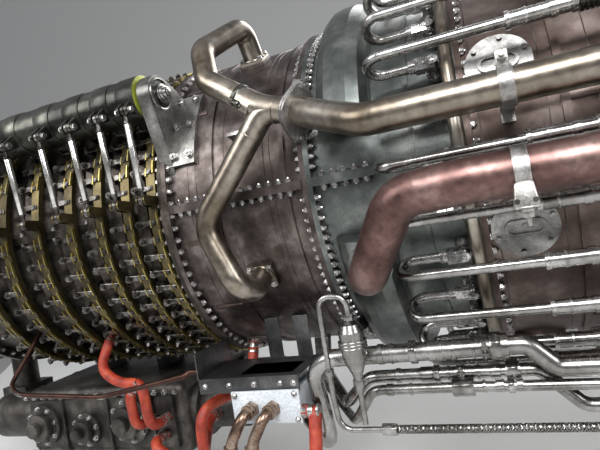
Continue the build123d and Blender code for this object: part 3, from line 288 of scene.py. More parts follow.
# %% Dress the solids
worn_by = {
    inlet_skin: ["inlet_bellmouth", "nose_cone"],
    casting: ["front_frame"],
    gear_iron: ["accessory_gearbox", "vane_actuators"],
    bracket_steel: ["shaft_bearing_brackets"],
    dark_steel: ["front_case_upper", "front_case_lower"],
    ring_dark: [f"unison_ring_{k}" for k in range(1, 8)],
    link_steel: [f"vane_link_{s}_{k}" for s in ("left", "right") for k in range(1, 8)]
    + ["actuator_rod_left", "actuator_rod_right"],
    shaft_steel: ["torque_shaft_left", "torque_shaft_right"],
    brown_steel: ["rear_case_upper", "rear_case_lower"],
    green_steel: ["diffuser_case_upper", "diffuser_case_lower"],
    nut_steel: ["casing_bolts", "fuel_nozzles"],
    lever_steel: ["vane_levers"],
    brown_hot: ["turbine_case", "turbine_mid_frame", "power_turbine_case", "exhaust_frame"],
    cover_steel: ["inspection_covers"],
    flange_steel: ["pipe_clamps", "combustor_liner"],
    tube_steel: ["fuel_pigtails", "fuel_manifold", "drain_canister", "service_pipes", "flexible_lines"],
    warm_tube: ["bleed_manifold", "bleed_pipe", "ring_manifold"],
    red_tube: ["recoup_pipe"],
    sheet_steel: ["instrument_tray"],
    blade_steel: ["compressor_rotor", "gas_generator_turbine", "power_turbine_rotor"],
}
for finish, names in worn_by.items():
    for name in names:
        nodes[name].data.materials.clear()
        nodes[name].data.materials.append(finish)
undressed = set(nodes) - {name for names in worn_by.values() for name in names}
print("solids without a finish:", sorted(undressed))

# %% [markdown]
# Small pieces start as primitives. `drum` lays a cylinder or cone between two points,
# `block` is a box, and `pieces_in_one` joins them, puts the result at the origin and
# gives it its metal. Everything is deselected first, because an operator works on all
# that is selected. `copies` repeats one part at many places, and `worn` and `on_case`
# also say which body carries a piece.

# %% Modelling helpers
shaftwise = Vector((1, 0, 0))


def clear():
    bpy.ops.object.select_all(action="DESELECT")


def take(pieces):
    """Select these pieces alone, with the first one active."""
    clear()
    for piece in pieces:
        piece.select_set(True)
    bpy.context.view_layer.objects.active = pieces[0]


def drum(start, end, radius, sides=24, end_radius=None):
    """A cylinder, or a cone, from one point to another."""
    clear()
    start, end = Vector(start), Vector(end)
    way = end - start
    bpy.ops.mesh.primitive_cone_add(
        vertices=sides,
        radius1=radius,
        radius2=radius if end_radius is None else end_radius,
        depth=way.length,
        location=(start + end) / 2,
        rotation=way.to_track_quat("Z", "Y").to_euler(),
    )
    return bpy.context.object


def block(low, high):
    """A box between two corners."""
    clear()
    low, high = Vector(low), Vector(high)
    bpy.ops.mesh.primitive_cube_add(size=1, location=(low + high) / 2)
    bpy.context.object.scale = high - low
    return bpy.context.object


def soften(piece, width, segments=2):
    """Bevel the sharp edges of a piece."""
    take([piece])
    bpy.ops.object.transform_apply()
    edge = piece.modifiers.new("edge", "BEVEL")
    edge.width = width
    edge.segments = segments
    edge.limit_method = "ANGLE"
    edge.angle_limit = radians(35)
    bpy.ops.object.modifier_apply(modifier="edge")
    return piece


def ring_round(centre, way, radius, thickness):
    """A bead round a pipe: a torus whose axis is the pipe's direction."""
    clear()
    bpy.ops.mesh.primitive_torus_add(
        location=centre, rotation=Vector(way).to_track_quat("Z", "Y").to_euler(),
        major_radius=radius, minor_radius=thickness, major_segments=36, minor_segments=8,
    )
    return bpy.context.object


def pieces_in_one(name, parts, finish, smooth=35):
    """Join parts into one named piece at the origin, with one finish."""
    take(parts)
    if len(parts) > 1:
        bpy.ops.object.join()
    whole = bpy.context.object
    bpy.ops.object.transform_apply()
    whole.name = whole.data.name = name
    whole.data.materials.clear()
    whole.data.materials.append(finish)
    bpy.ops.object.shade_smooth_by_angle(angle=radians(smooth))
    return whole


def spot(x, radius, angle):
    """The point at a station, a radius and an angle up from the left side."""
    turn = radians(angle)
    return Vector((x, -radius * cos(turn), radius * sin(turn)))


def seat(x, radius, angle):
    """Moves what is modelled at the origin, standing on Z, out to a place on a round case."""
    turn = Matrix.Rotation(radians(90 - angle), 4, "X")
    return Matrix.Translation((x, 0, 0)) @ turn @ Matrix.Translation((0, 0, radius))


def copies(name, pattern, places, keep=False):
    """One piece made of copies of a pattern, which is then removed."""
    grown = bmesh.new()
    for spot_here in places:
        first = len(grown.verts)
        grown.from_mesh(pattern.data)
        grown.verts.ensure_lookup_table()
        bmesh.ops.transform(grown, matrix=spot_here, verts=grown.verts[first:])
    mesh = bpy.data.meshes.new(name)
    grown.to_mesh(mesh)
    grown.free()
    whole = bpy.data.objects.new(name, mesh)
    bpy.context.scene.collection.objects.link(whole)
    mesh.materials.append(pattern.data.materials[0])
    if not keep:
        bpy.data.objects.remove(pattern)
    print(name, "has", len(mesh.polygons), "faces")
    return whole


def on_case(name, pattern, places, keep=False):
    """Copies of a small part that stay with the case."""
    whole = copies(name, pattern, places, keep=keep)
    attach(whole, "casing")


def worn(name, parts, finish, body, replaced=None, smooth=35):
    """Join parts into a piece with its metal, and say what carries it."""
    piece = pieces_in_one(name, parts, finish, smooth)
    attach(piece, body)
    if replaced:
        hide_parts(replaced)
    print(name, "has", len(piece.data.polygons), "faces")


# %% [markdown]
# One nut is a washer, a hexagon with a turned top, and the end of its stud. It is
# modelled once, standing on Z, and copied to every flange. On the flanges it lies
# along the shaft, so a quarter turn about Y comes after the place.

# %% A nut and its rows
def hex_nut(name, across, height, stud=0.004):
    """A washer, a hexagon and a stud end, standing on Z."""
    corner = across / 2 / cos(radians(30))
    flat = drum((0, 0, 0), (0, 0, height * 0.16), corner * 1.161, sides=14)
    body = drum((0, 0, height * 0.14), (0, 0, height * 0.86), corner, sides=6)
    crown = drum((0, 0, height * 0.84), (0, 0, height), corner * 0.97, 6, corner * 0.74)
    end = drum((0, 0, height * 0.9), (0, 0, height * 1.35), stud, sides=8, end_radius=stud * 0.8)
    return pieces_in_one(name, [flat, body, crown, end], nut_steel, smooth=30)


aft = Matrix.Rotation(radians(90), 4, "Y")
ahead = Matrix.Rotation(radians(-90), 4, "Y")
leftwards = Matrix.Rotation(radians(90), 4, "X")
x_front, x_rear, x_main = 0.660, 1.575, 1.950
flange_face = 0.012
main_bolt_r = 0.4335
split_pitch = 0.024
main_angles = [1.5 + 3 * k for k in range(120)]
main_angles = [a for a in main_angles if abs(sin(radians(a))) > sin(radians(2.5))]
nut = hex_nut("nut", 0.0125, 0.0085)
both_faces = [seat(x_main + flange_face, main_bolt_r, a) @ aft for a in main_angles]
both_faces += [seat(x_main - flange_face, main_bolt_r, a) @ ahead for a in main_angles]
main_nuts = copies("main_flange_nuts", nut, both_faces, keep=True)


def split_row(first, last, radius):
    """Stations of a split line's bolts."""
    count = int((last - first) / split_pitch)
    start = (first + last - (count - 1) * split_pitch) / 2
    return [(start + split_pitch * k, radius) for k in range(count)]


ring_x = [x_rear - d / 1000 for d in (680, 550, 425, 305, 205, 115, 35)]
stages, lever_reach = range(7), 0.045
spindle_x = [x - lever_reach for x in ring_x]
rows = split_row(1.597, 1.928, 0.424) + split_row(1.972, 2.1, 0.426)
crossings = ring_x + spindle_x
rows += [
    (x, r)
    for x, r in split_row(x_front + 0.02, x_rear - 0.02, 0.392)
    if min(abs(x - t) for t in crossings) > 0.027
]
upright = []
for x, r in rows:
    for side in (-1, 1):
        y = side * (r + 0.0135)
        upright.append(Matrix.Translation((x, y, 0.010)))
        upright.append(Matrix.Translation((x, y, -0.010)) @ Matrix.Rotation(radians(180), 4, "X"))
split_nuts = copies("split_line_nuts", nut, upright, keep=True)
for piece in (main_nuts, split_nuts):
    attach(piece, "casing")
    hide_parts("casing_bolts")

# %% [markdown]
# The other flanges carry the same nuts further apart. They are plain rows, so one
# loop places them.

# %% Nuts on the other flanges
flanges = [(0.330, 0.407, 48), (x_front, 0.407, 60), (x_rear, 0.432, 90), (2.290, 0.456, 90)]
flanges += [(2.700, 0.456, 90), (3.030, 0.482, 72), (3.830, 0.652, 90)]
far_places = []
for x, r, count in flanges:
    for k in range(count):
        angle = 360 * (k + 0.5) / count
        far_places.append(seat(x + flange_face, r, angle) @ aft)
        far_places.append(seat(x - flange_face, r, angle) @ ahead)
on_case("flange_nuts", nut, far_places, keep=True)

# %% [markdown]
# Each vane's spindle ends in a lever that a unison ring pushes. The lever is a tapered
# plate with a raised eye at each end. It starts as a box, its far end is narrowed in
# edit mode, and the bosses, the nut and the pin are added.

# %% Vane levers
def lever_pattern():
    """One lever from its spindle at x = 0 to the ring, at its true radius."""
    plate, plate_top, nut_foot, nut_top = 0.4386, 0.4418, 0.4440, 0.4500
    arm = block((-0.009, -0.009, plate), (0.052, 0.009, plate_top))
    bpy.ops.object.mode_set(mode="EDIT")
    shape = bmesh.from_edit_mesh(arm.data)
    for corner in shape.verts:
        corner.select_set(corner.co.x > 0)
    shape.select_flush(True)
    bmesh.update_edit_mesh(arm.data)
    bpy.ops.transform.resize(value=(1, 0.62, 1))
    bpy.ops.object.mode_set(mode="OBJECT")
    soften(arm, 0.0012, 1)
    boss = drum((0, 0, 0.4205), (0, 0, plate), 0.0095, sides=14)
    eye = drum((0, 0, plate_top), (0, 0, nut_foot), 0.0098, sides=14)
    tip = drum((lever_reach, 0, plate_top), (lever_reach, 0, 0.4452), 0.0048, sides=10)
    six_sided = drum((0, 0, nut_foot), (0, 0, nut_top), 0.0078, sides=6)
    stud = drum((0, 0, nut_top), (0, 0, 0.4535), 0.0038, sides=8, end_radius=0.003)
    return pieces_in_one("lever", [arm, boss, eye, tip, six_sided, stud], lever_steel, smooth=30)


lug_angles = (4, 176)


def clear_of_lugs(angles, gap):
    """The angles that leave room for a ring's two lugs."""
    return [a for a in angles if min(abs(a - lug) for lug in lug_angles) > gap]


lever = lever_pattern()
lever_counts = (42, 46, 50, 54, 58, 62, 64)
for stage, count in enumerate(lever_counts):
    angles = [360 * (k + 0.5) / count for k in range(count)]
    places = [seat(spindle_x[stage], 0, a) for a in clear_of_lugs(angles, 3.4)]
    row = copies(f"vane_levers_{stage + 1}", lever, places, keep=True)
    x = ring_x[stage]
    start, end = (x - 0.036, 0, 0), (x - 0.006, 0, 0)
    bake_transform(row)
    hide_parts("vane_levers")
bpy.data.objects.remove(lever)

# %% [markdown]
# The unison rings are channels whose bright edges are cut into long slots. A short
# arc of edge is spun from a small rectangle, and copies of it leave the slots between
# them. The front edge stops where each lever crosses it.

# %% Slotted ring edges
def edge_arc(x, radius, width, height, sweep):
    """A short arc of raised edge, spun round the shaft axis and centred on the top."""
    clear()
    bpy.ops.mesh.primitive_plane_add(size=1, location=(0, 0, 0), rotation=(radians(90), 0, 0))
    arc = bpy.context.object
    arc.scale = (width, height, 1)
    bpy.ops.object.transform_apply()
    arc.data.transform(Matrix.Translation((x, 0, radius + height / 2)))
    arc.data.transform(Matrix.Rotation(radians(-sweep / 2), 4, "X"))
    bpy.ops.object.mode_set(mode="EDIT")
    bpy.ops.mesh.select_all(action="SELECT")
    bpy.ops.mesh.spin(steps=4, angle=radians(sweep), center=(0, 0, 0), axis=(1, 0, 0))
    bpy.ops.mesh.select_all(action="SELECT")
    bpy.ops.mesh.normals_make_consistent(inside=False)
    bpy.ops.object.mode_set(mode="OBJECT")
    return arc


def turned(angle):
    return Matrix.Rotation(radians(90 - angle), 4, "X")


edge_x, edge_r, edge_width = 0.0112, 0.4380, 0.0030
for stage, count in enumerate(lever_counts):
    pitch = 360 / count
    x = ring_x[stage]
    front = edge_arc(x - edge_x, edge_r, edge_width, 0.0046, pitch - 3.0)
    rear = edge_arc(x + edge_x, edge_r, edge_width, 0.0066, pitch * 0.72)
    arcs = pieces_in_one("edges", [front, rear], edge_gold, smooth=40)
    free = clear_of_lugs([k * pitch for k in range(count)], 4.4)
    edges = copies(f"ring_edges_{stage + 1}", arcs, [turned(a) for a in free])
    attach(edges, f"unison_ring_{stage + 1}")

# %% [markdown]
# A drive link is a polished hexagonal bar with a lock nut and a rod end at each end.
# Bar and ends are modelled between the two pins of their stage, once for each side of
# the engine, and stand in for the plain link of the solid model.

# %% Drive links
shaft_y, shaft_z = 0.425, 0.285
arm_reach = (0.092, 0.088, 0.084, 0.082, 0.080, 0.076, 0.070)
arm_down, lug_up, lug_r = radians(30), radians(lug_angles[0]), 0.472


def link_ends(stage, side):
    """Where a link's two pins are."""
    reach, x = arm_reach[stage], ring_x[stage]
    top = (x, side * (shaft_y + reach * cos(arm_down)), shaft_z - reach * sin(arm_down))
    return Vector(top), Vector((x, side * lug_r * cos(lug_up), lug_r * sin(lug_up)))


def rod_ends(stage, side):
    """Threaded ends, lock nuts and eyes of one link."""
    top, foot = link_ends(stage, side)
    way = (foot - top).normalized()
    parts = []
    for pin, sign, eye in ((top, 1, 0.0094), (foot, -1, 0.0113)):
        parts.append(drum(pin + way * sign * 0.011, pin + way * sign * 0.034, 0.0052, sides=16))
        parts.append(drum(pin + way * sign * 0.024, pin + way * sign * 0.030, 0.0088, sides=6))
        bpy.ops.mesh.primitive_torus_add(
            location=pin, rotation=(0, radians(90), 0), major_radius=eye, minor_radius=0.0032,
            major_segments=24, minor_segments=8,
        )
        ring = bpy.context.object
        ring.scale = (1, 1, 1.8)
        parts.append(ring)
    return parts


for side, word in ((-1, "left"), (1, "right")):
    for stage in stages:
        which = f"{word}_{stage + 1}"
        link = f"vane_link_{which}"
        top, foot = link_ends(stage, side)
        way = (foot - top).normalized()
        bar = soften(drum(top + way * 0.032, foot - way * 0.030, 0.0086, sides=6), 0.0006, 1)
        worn(f"link_bar_{which}", [bar], link_steel, link, link)
        ends = rod_ends(stage, side)
        worn(f"link_rod_ends_{which}", ends, lever_steel, link, link)
print("14 drive links")

# %% [markdown]
# Each clevis of a torque shaft gets a washer and a nut on both ends of its pin, and a
# dark band goes round the tube there. The rear end of the tube shows a band of
# yellow-green chromate.

# %% Torque shaft trim
for side, word in ((-1, "left"), (1, "right")):
    parts, bands = [], []
    for stage in stages:
        pin = link_ends(stage, side)[0]
        for way in (-shaftwise, shaftwise):
            face = pin + way * 0.016
            parts.append(drum(face, face + way * 0.002, 0.010, sides=16))
            parts.append(drum(face, face + way * 0.008, 0.0078, sides=6))
        clevis = Vector((ring_x[stage], side * shaft_y, shaft_z))
        half = shaftwise * 0.026
        bands.append(soften(drum(clevis - half, clevis + half, 0.0574, sides=56), 0.001))
    shaft = f"torque_shaft_{word}"
    worn(f"torque_shaft_trim_{word}", parts, nut_steel, shaft)
    worn(f"torque_shaft_bands_{word}", bands, shaft_steel, shaft)
    start = Vector((1.548, side * shaft_y, shaft_z))
    band = soften(drum(start, start + shaftwise * 0.0185, 0.0568, sides=64), 0.002)
    worn(f"shaft_end_disc_{word}", [band], chromate, shaft)

# %% [markdown]
# The rear bearing of each torque shaft sits in a bracket with a bolted foot. The
# bracket itself is a solid. Its aft face gets a raised race, a flat dark disc that is
# painted shade for its well, and the stepped end of the shaft, its front face a thin
# collar, and its foot the nuts.

# %% Bearing details
races, well_shade_discs, ends = [], [], []
for side in (-1, 1):
    centre = Vector((1.607, side * shaft_y, shaft_z))
    front_face = Vector((1.573, side * shaft_y, shaft_z))
    races.append(ring_round(centre, shaftwise, 0.0375, 0.0042))
    races.append(soften(drum(front_face, front_face - shaftwise * 0.004, 0.040, sides=48), 0.001))
    # A flat dark disc on the face: painted shade for the well, which is not cut.
    well_shade_discs.append(drum(centre, centre + shaftwise * 0.0012, 0.0350, sides=48))
    for reach, radius in ((0.010, 0.0240), (0.016, 0.0190), (0.023, 0.0140), (0.026, 0.0080)):
        ends.append(soften(drum(centre, centre + shaftwise * reach, radius, sides=40), 0.0008))
worn("shaft_bearings", races, bracket_steel, "casing")
worn("shaft_bearing_well_shade", well_shade_discs, shaft_steel, "casing")
worn("shaft_bearing_ends", ends, tube_steel, "casing")
foot_nut = hex_nut("foot_nut", 0.017, 0.011, stud=0.005)
foot_places = [seat(x, 0.436, a) for x in (1.612, 1.654) for a in (17, 28, 39, 163, 152, 141)]
on_case("bracket_nuts", foot_nut, foot_places)

# %% [markdown]
# A pipe is drawn as a line of corner points. Each corner is rounded by a short run of
# points on a parabola, the line gets a round bevel, and the result becomes a mesh.

# %% Tubes
def rounded(corners, room):
    """Corner points with each inner corner replaced by a smooth bend."""
    corners = [Vector(c) for c in corners]
    path = [corners[0]]
    for before, here, after in zip(corners, corners[1:], corners[2:]):
        back, on = before - here, after - here
        reach = min(room, back.length * 0.48, on.length * 0.48)
        start, stop = here + back.normalized() * reach, here + on.normalized() * reach
        for share in (0, 0.17, 0.33, 0.5, 0.67, 0.83, 1):
            path.append(start.lerp(here, share).lerp(here.lerp(stop, share), share))
    return path + [corners[-1]]


def tube(corners, radius, room=0.03, rounds=4):
    """A round tube along corner points, as a mesh object."""
    path = rounded(corners, room)
    line = bpy.data.curves.new("line", "CURVE")
    line.dimensions = "3D"
    line.bevel_depth = radius
    line.bevel_resolution = rounds
    line.use_fill_caps = True
    run = line.splines.new("POLY")
    run.points.add(len(path) - 1)
    for knot, here in zip(run.points, path):
        knot.co = (*here, 1)
    piece = bpy.data.objects.new("tube", line)
    bpy.context.scene.collection.objects.link(piece)
    take([piece])
    bpy.ops.object.convert(target="MESH")
    return bpy.context.object


# %% [markdown]
# Behind the levers hang the foils that they turn. Each row has 24 of them between the
# rotor drum and the case. A foil is a cylinder pressed flat, set at an angle to the flow.

# %% Stator foils
foil_rows = []
for stage in stages:
    foot = 0.189 + (spindle_x[stage] - 0.69) * 0.14 / 1.27
    foil = drum((0, 0, foot), (0, 0, 0.3716), 0.022, sides=12)
    foil.scale = (1, 0.14, 1)
    foil.rotation_euler = (0, 0, radians(25))
    pattern = pieces_in_one("foil", [foil], blade_steel, smooth=50)
    places = [seat(spindle_x[stage], 0, 7.5 + 15 * k) for k in range(24)]
    foil_rows.append(copies("foil_row", pattern, places))
worn("vane_foils", foil_rows, blade_steel, "casing", "vane_levers", smooth=50)

# %% [markdown]
# The two bleed pipes meet in a Y ahead of a bolted joint. The joint is a pair of thin
# plates with an ear above and below the pipe. A plate is the convex hull of three discs.

# %% Pipe joint
joint = Vector((1.980, -0.508, 0.141))
along = Vector((0.811, -0.467, -0.356)).normalized()
upward = (Vector((0, 0, 1)) - along * along.z).normalized()
plate_half, ear_reach, ear_r = 0.0033, 0.052, 0.011


def eared_plate(middle):
    """One plate of the joint, wrapped round its pipe's disc and its two ears."""
    half = along * plate_half
    discs = [drum(middle - half, middle + half, 0.0456, sides=48)]
    for sign in (-1, 1):
        tip = middle + upward * sign * ear_reach
        discs.append(drum(tip - half, tip + half, ear_r))
    take(discs)
    bpy.ops.object.join()
    bpy.ops.object.mode_set(mode="EDIT")
    bpy.ops.mesh.select_all(action="SELECT")
    bpy.ops.mesh.convex_hull()
    bpy.ops.object.mode_set(mode="OBJECT")
    return soften(bpy.context.object, 0.0008, 1)


joint_parts = [eared_plate(joint + along * a) for a in (-0.0036, 0.0040)]
for sign in (-1, 1):
    ear = joint + upward * sign * ear_reach
    joint_parts.append(drum(ear - along * 0.020, ear + along * 0.022, 0.0036, sides=12))
    joint_parts.append(drum(ear - along * 0.015, ear - along * 0.007, 0.0078, sides=6))
    joint_parts.append(drum(ear + along * 0.0075, ear + along * 0.0155, 0.0078, sides=6))
worn("pipe_joint_plates", joint_parts, flange_steel, "casing")

# %% [markdown]
# A smooth bend leads the upper pipe into the fork, and a dark strap goes round that leg.
# Every place where pipes were welded has a bead.

# %% Fork of the bleed pipes
fork = Vector((1.904, -0.500, 0.164))
low_corner, high_corner = Vector((1.707, -0.492, -0.052)), Vector((1.772, -0.482, 0.262))
fork_route = [(1.790, -0.4853, 0.2476), (1.8895, -0.4998, 0.1755)]
fork_route += [(1.915, -0.501, 0.163), (1.974, -0.5046, 0.1436)]
bend = tube(fork_route, 0.0276, 0.034, rounds=8)
worn("bleed_fork", [bend], warm_tube, "casing", smooth=60)
upper_leg = (high_corner - fork).normalized()
strap_at = fork + upper_leg * 0.060
fork_strap = [soften(drum(strap_at, strap_at + upper_leg * 0.013, 0.0294, sides=48), 0.0012)]
lug = strap_at + Vector((0, -0.027, -0.017))
eye = drum(lug - upper_leg * 0.002, lug + upper_leg * 0.015, 0.0085, sides=20)
fork_strap.append(soften(eye, 0.001))
fork_strap.append(drum(lug - upper_leg * 0.007, lug + upper_leg * 0.020, 0.0050, sides=6))
worn("fork_strap", fork_strap, shaft_steel, "casing")
welds = []
for far, gap in ((low_corner, 0.062), (high_corner, 0.074), (joint, 0.030)):
    way = (far - fork).normalized()
    welds.append(ring_round(fork + way * gap, way, 0.0268, 0.0014))
port_x, port_angles = 1.785, (-26, 58)
for angle in port_angles:
    welds.append(ring_round(spot(port_x, 0.4400, angle), spot(0, 1, angle), 0.0275, 0.0030))
worn("weld_beads", welds, warm_tube, "casing", smooth=60)
port_nut = hex_nut("port_nut", 0.0125, 0.008)
port_places = []
for angle in port_angles:
    for dx in (-0.0245, 0.0245):
        for dy in (-0.0215, 0.0215):
            port_places.append(seat(port_x, 0, angle) @ Matrix.Translation((dx, dy, 0.4394)))
on_case("port_nuts", port_nut, port_places)

# %% [markdown]
# Fine welded seams run round the brown cases, and flat stiffening strips run along
# them. They catch a thin line of light, as in the photo.

# %% Seams and strips
seam_r = 0.0011


def seam(x, radius, first=2.2, last=177.8):
    """Two half hoops of weld, above and below the split line."""
    halves = []
    for low, high in ((first, last), (180 + first, 180 + last)):
        arc = [spot(x, radius, low + (high - low) * k / 60) for k in range(61)]
        halves.append(tube(arc, seam_r, 0, rounds=1))
    return halves


seams = []
for x in (1.640, 1.662, 1.742, 1.846, 1.862):
    seams += seam(x, 0.4242)
for x in (2.318, 2.438, 2.520, 2.585, 2.668):
    seams += seam(x, 0.4522, 0, 180)
worn("case_seams", seams, brown_steel, "casing", smooth=60)
strips = []
rear_angles = (33, 46, 70, 110, 134, 147, -12, -38, -62, -118, -142, -168)
hot_angles = (8, 31, 52, 128, 149, 172, -8, -33, -57, -123, -147, -172)
rear_strips = (1.610, 1.690, 0.0065, 0.4225, 0.4272), rear_angles
hot_strips = (2.460, 2.660, 0.008, 0.4505, 0.4550), hot_angles
for (first, last, half, low, high), angles in (rear_strips, hot_strips):
    for angle in angles:
        strip = soften(block((first, -half, low), (last, half, high)), 0.0012)
        pattern = pieces_in_one("strip_pattern", [strip], brown_steel)
        strips.append(copies("strip", pattern, [turned(angle)]))
worn("case_strips", strips, brown_hot, "casing")

# %% [markdown]
# Two straps hold the long pipes. The upper one is drawn tight by a bolt between two
# lugs above the pipe. The lower one ends in a small cast bracket with two holes and a
# square stud.

# %% Straps of the long pipes
strap_x, bolt_z, strap_edges = 2.369, 0.129, (2.3585, 2.3795)
strap_parts = [ring_round((x, -0.592, 0.077), shaftwise, 0.0336, 0.0009) for x in strap_edges]
for y in (-0.5815, -0.5665):
    ear = block((2.3590, y - 0.0016, 0.100), (2.3790, y + 0.0016, 0.1395))
    strap_parts.append(soften(ear, 0.001))
for near, far, radius, sides in (
    (-0.602, -0.553, 0.0040, 12),
    (-0.5925, -0.5835, 0.0088, 6),
    (-0.5645, -0.5565, 0.0080, 14),
):
    strap_parts.append(drum((strap_x, near, bolt_z), (strap_x, far, bolt_z), radius, sides=sides))
strap_parts += [ring_round((x, -0.605, -0.062), shaftwise, 0.0426, 0.0009) for x in strap_edges]
worn("strap_bolts", strap_parts, strap_steel, "casing")

# %% [markdown]
# The cast bracket is a softened block whose upper half is drawn in. Its two holes are
# flat dark discs of painted shade, not cut, and the six round covers of the case get
# their boss, rim and bolts.

# %% Cast bracket and covers
cast = block((2.3475, -0.6555, -0.1215), (2.3875, -0.6405, -0.0790))
bpy.ops.object.mode_set(mode="EDIT")
shape = bmesh.from_edit_mesh(cast.data)
for corner in shape.verts:
    if corner.co.z > 0:
        corner.co.x *= 0.72
        corner.co.y = corner.co.y * 0.6 + 0.1
bmesh.update_edit_mesh(cast.data)
bpy.ops.object.mode_set(mode="OBJECT")
soften(cast, 0.0045, 3)
stud_x, stud_y = 2.3675, -0.648
cast_parts = [cast, drum((stud_x, -0.660, -0.1085), (stud_x, stud_y, -0.1085), 0.0062, sides=4)]
for low, high, radius, sides in (
    (-0.1480, -0.1180, 0.0042, 12),
    (-0.1350, -0.1270, 0.0090, 6),
    (-0.1260, -0.1215, 0.0125, 18),
):
    cast_parts.append(drum((stud_x, stud_y, low), (stud_x, stud_y, high), radius, sides=sides))
worn("strap_bracket", cast_parts, strap_steel, "casing")
# Painted shade: two flat dark discs stand for the holes.
hole_shade_discs = [
    drum((x, -0.6560, -0.109), (x, -0.6548, -0.109), 0.0042, sides=16) for x in (2.3545, 2.3805)
]
worn("strap_bracket_hole_shade", hole_shade_discs, shaft_steel, "casing")
cover_x, cover_angles, cover_bolt_r = 2.367, (19, -20, 161, 200, 75, 285), 0.0515
cover_parts = []
for angle in cover_angles:
    middle, out = spot(cover_x, 0.4545, angle), spot(0, 1, angle)
    cover_parts.append(soften(drum(middle, middle + out * 0.0105, 0.0215, sides=36), 0.002))
    cover_parts.append(drum(middle, middle + out * 0.017, 0.0085, sides=6))
    cover_parts.append(ring_round(middle + out * 0.0012, out, 0.0592, 0.0012))
for angle in cover_angles:
    middle, out = spot(cover_x, 0.4622, angle), spot(0, 1, angle)
    sideways = shaftwise.cross(out)
    for k in range(8):
        turn = radians(45 * k + 22.5)
        foot = middle + (shaftwise * cos(turn) + sideways * sin(turn)) * cover_bolt_r
        cover_parts.append(drum(foot, foot + out * 0.0052, 0.0064, sides=6))
        cover_parts.append(drum(foot, foot + out * 0.0016, 0.0086, sides=12))
worn("cover_bosses", cover_parts, cover_steel, "casing")

# %% [markdown]
# Every pigtail screws onto its nozzle with a pair of hexagon nuts, and its long leg has
# a slip sleeve with a ribbed grip. One set of fittings is modelled above the shaft and
# copied thirty times round it.

# %% Pigtail fittings
low, high = 0.472, 0.533
fitting_rows = (
    (2.2160, 2.2330, low, 0.0172, 6),
    (2.2030, 2.2165, low, 0.0132, 16),
    (2.2345, 2.2465, low, 0.0165, 6),
    (2.3880, 2.3960, high, 0.0168, 16),
    (2.4200, 2.4245, high, 0.0158, 16),
    (2.4945, 2.5030, high, 0.0172, 16),
    (2.5920, 2.6070, high, 0.0168, 6),
)
fittings = [drum((a, 0, z), (b, 0, z), radius, sides=n) for a, b, z, radius, n in fitting_rows]
fittings.append(drum((2.25, 0, 0.4425), (2.25, 0, 0.4640), 0.0150, sides=6))
for y in (-0.0155, 0.0155):
    fittings.append(drum((2.25, y, 0.4415), (2.25, y, 0.4485), 0.0062, sides=6))
fitting_set = pieces_in_one("fitting_set", fittings, nut_steel, smooth=30)
nozzle_angles = [12 * k - 0.75 for k in range(30)]
on_case("pigtail_nuts", fitting_set, [turned(a) for a in nozzle_angles])
grips = [drum((2.506, 0, high), (2.556, 0, high), 0.0162, sides=20)]
for k in range(6):
    rib = 2.5065 + 0.0082 * k
    grips.append(drum((rib, 0, high), (rib + 0.005, 0, high), 0.0190, sides=20))
grip_set = pieces_in_one("grip_set", grips, shaft_steel, smooth=30)
on_case("pigtail_grips", grip_set, [turned(a) for a in nozzle_angles])

# %% [markdown]
# The service pipes are full of couplings: plain collars, hexagon nuts and band clamps
# with a small bolt. A short table for each pipe says where they sit.

# %% Service pipe couplings
def collar(x, y, z, radius, length=0.010):
    return soften(drum((x, y, z), (x + length, y, z), radius, sides=32), 0.0008, 1)


def hexagon(x, y, z, radius, length=0.016):
    return soften(drum((x, y, z), (x + length, y, z), radius, sides=6), 0.0008, 1)


def band_clamp(x, y, z, radius):
    """A band with raised edges, two lugs in front and the bolt that pulls them together."""
    parts = [collar(x, y, z, radius + 0.0020, 0.016)]
    parts += [collar(x + d, y, z, radius + 0.0034, 0.003) for d in (0, 0.013)]
    front = y - radius - 0.006
    for dz in (-0.006, 0.006):
        low, high = (x + 0.002, front - 0.006, z + dz - 0.0016), (x + 0.014, y, z + dz + 0.0016)
        parts.append(soften(block(low, high), 0.0006))
    parts.append(drum((x + 0.008, front, z - 0.016), (x + 0.008, front, z + 0.017), 0.0026, sides=10))
    parts.append(drum((x + 0.008, front, z + 0.0078), (x + 0.008, front, z + 0.0135), 0.0052, sides=6))
    return parts


# Each pipe: its y, z and radius, how far collars stand out, collars as (x, length), and
# hexagons as (x, rise, radius, length).
fuel = (-0.440, -0.3823, 0.019), 0.0022
fuel_collars = ((2.046, 0.012), (2.072, 0.005), (2.150, 0.030), (2.196, 0.008), (2.236, 0.005))
fuel_nuts = ((2.2725, 0.0007, 0.0290, 0.018), (2.112, 0, 0.0245, 0.014))
drain = (-0.412, -0.438, 0.0135), 0.0022
drain_collars = ((2.070, 0.010), (2.122, 0.026), (2.176, 0.006), (2.235, 0.006), (2.260, 0.020))
drain_nuts = ((2.2925, 0, 0.0218, 0.020), (2.150, 0, 0.0190, 0.012))
vent = (-0.440, -0.458, 0.0105), 0.0020
vent_collars = ((2.052, 0.014), (2.100, 0.006), (2.244, 0.006), (2.268, 0.016), (2.306, 0.012))
vent_nuts = ((2.1860, -0.0005, 0.0190, 0.042), (2.290, -0.001, 0.0150, 0.012))
couplings = []
for ((y, z, r), proud), collars, nuts, clamp in (
    (fuel, fuel_collars, fuel_nuts, (2.252, 0.0005)),
    (drain, drain_collars, drain_nuts, (2.196, 0)),
    (vent, vent_collars, vent_nuts, None),
):
    couplings += [collar(x, y, z, r + proud, length) for x, length in collars]
    couplings += [hexagon(x, y, z + rise, radius, length) for x, rise, radius, length in nuts]
    if clamp:
        couplings += band_clamp(clamp[0], y, z + clamp[1], r)
worn("service_pipe_couplings", couplings, tube_steel, "casing")

# %% [markdown]
# The canister's beads are tori round its upright axis. Above, below and on its loop tube
# sit hexagons and plain collars.

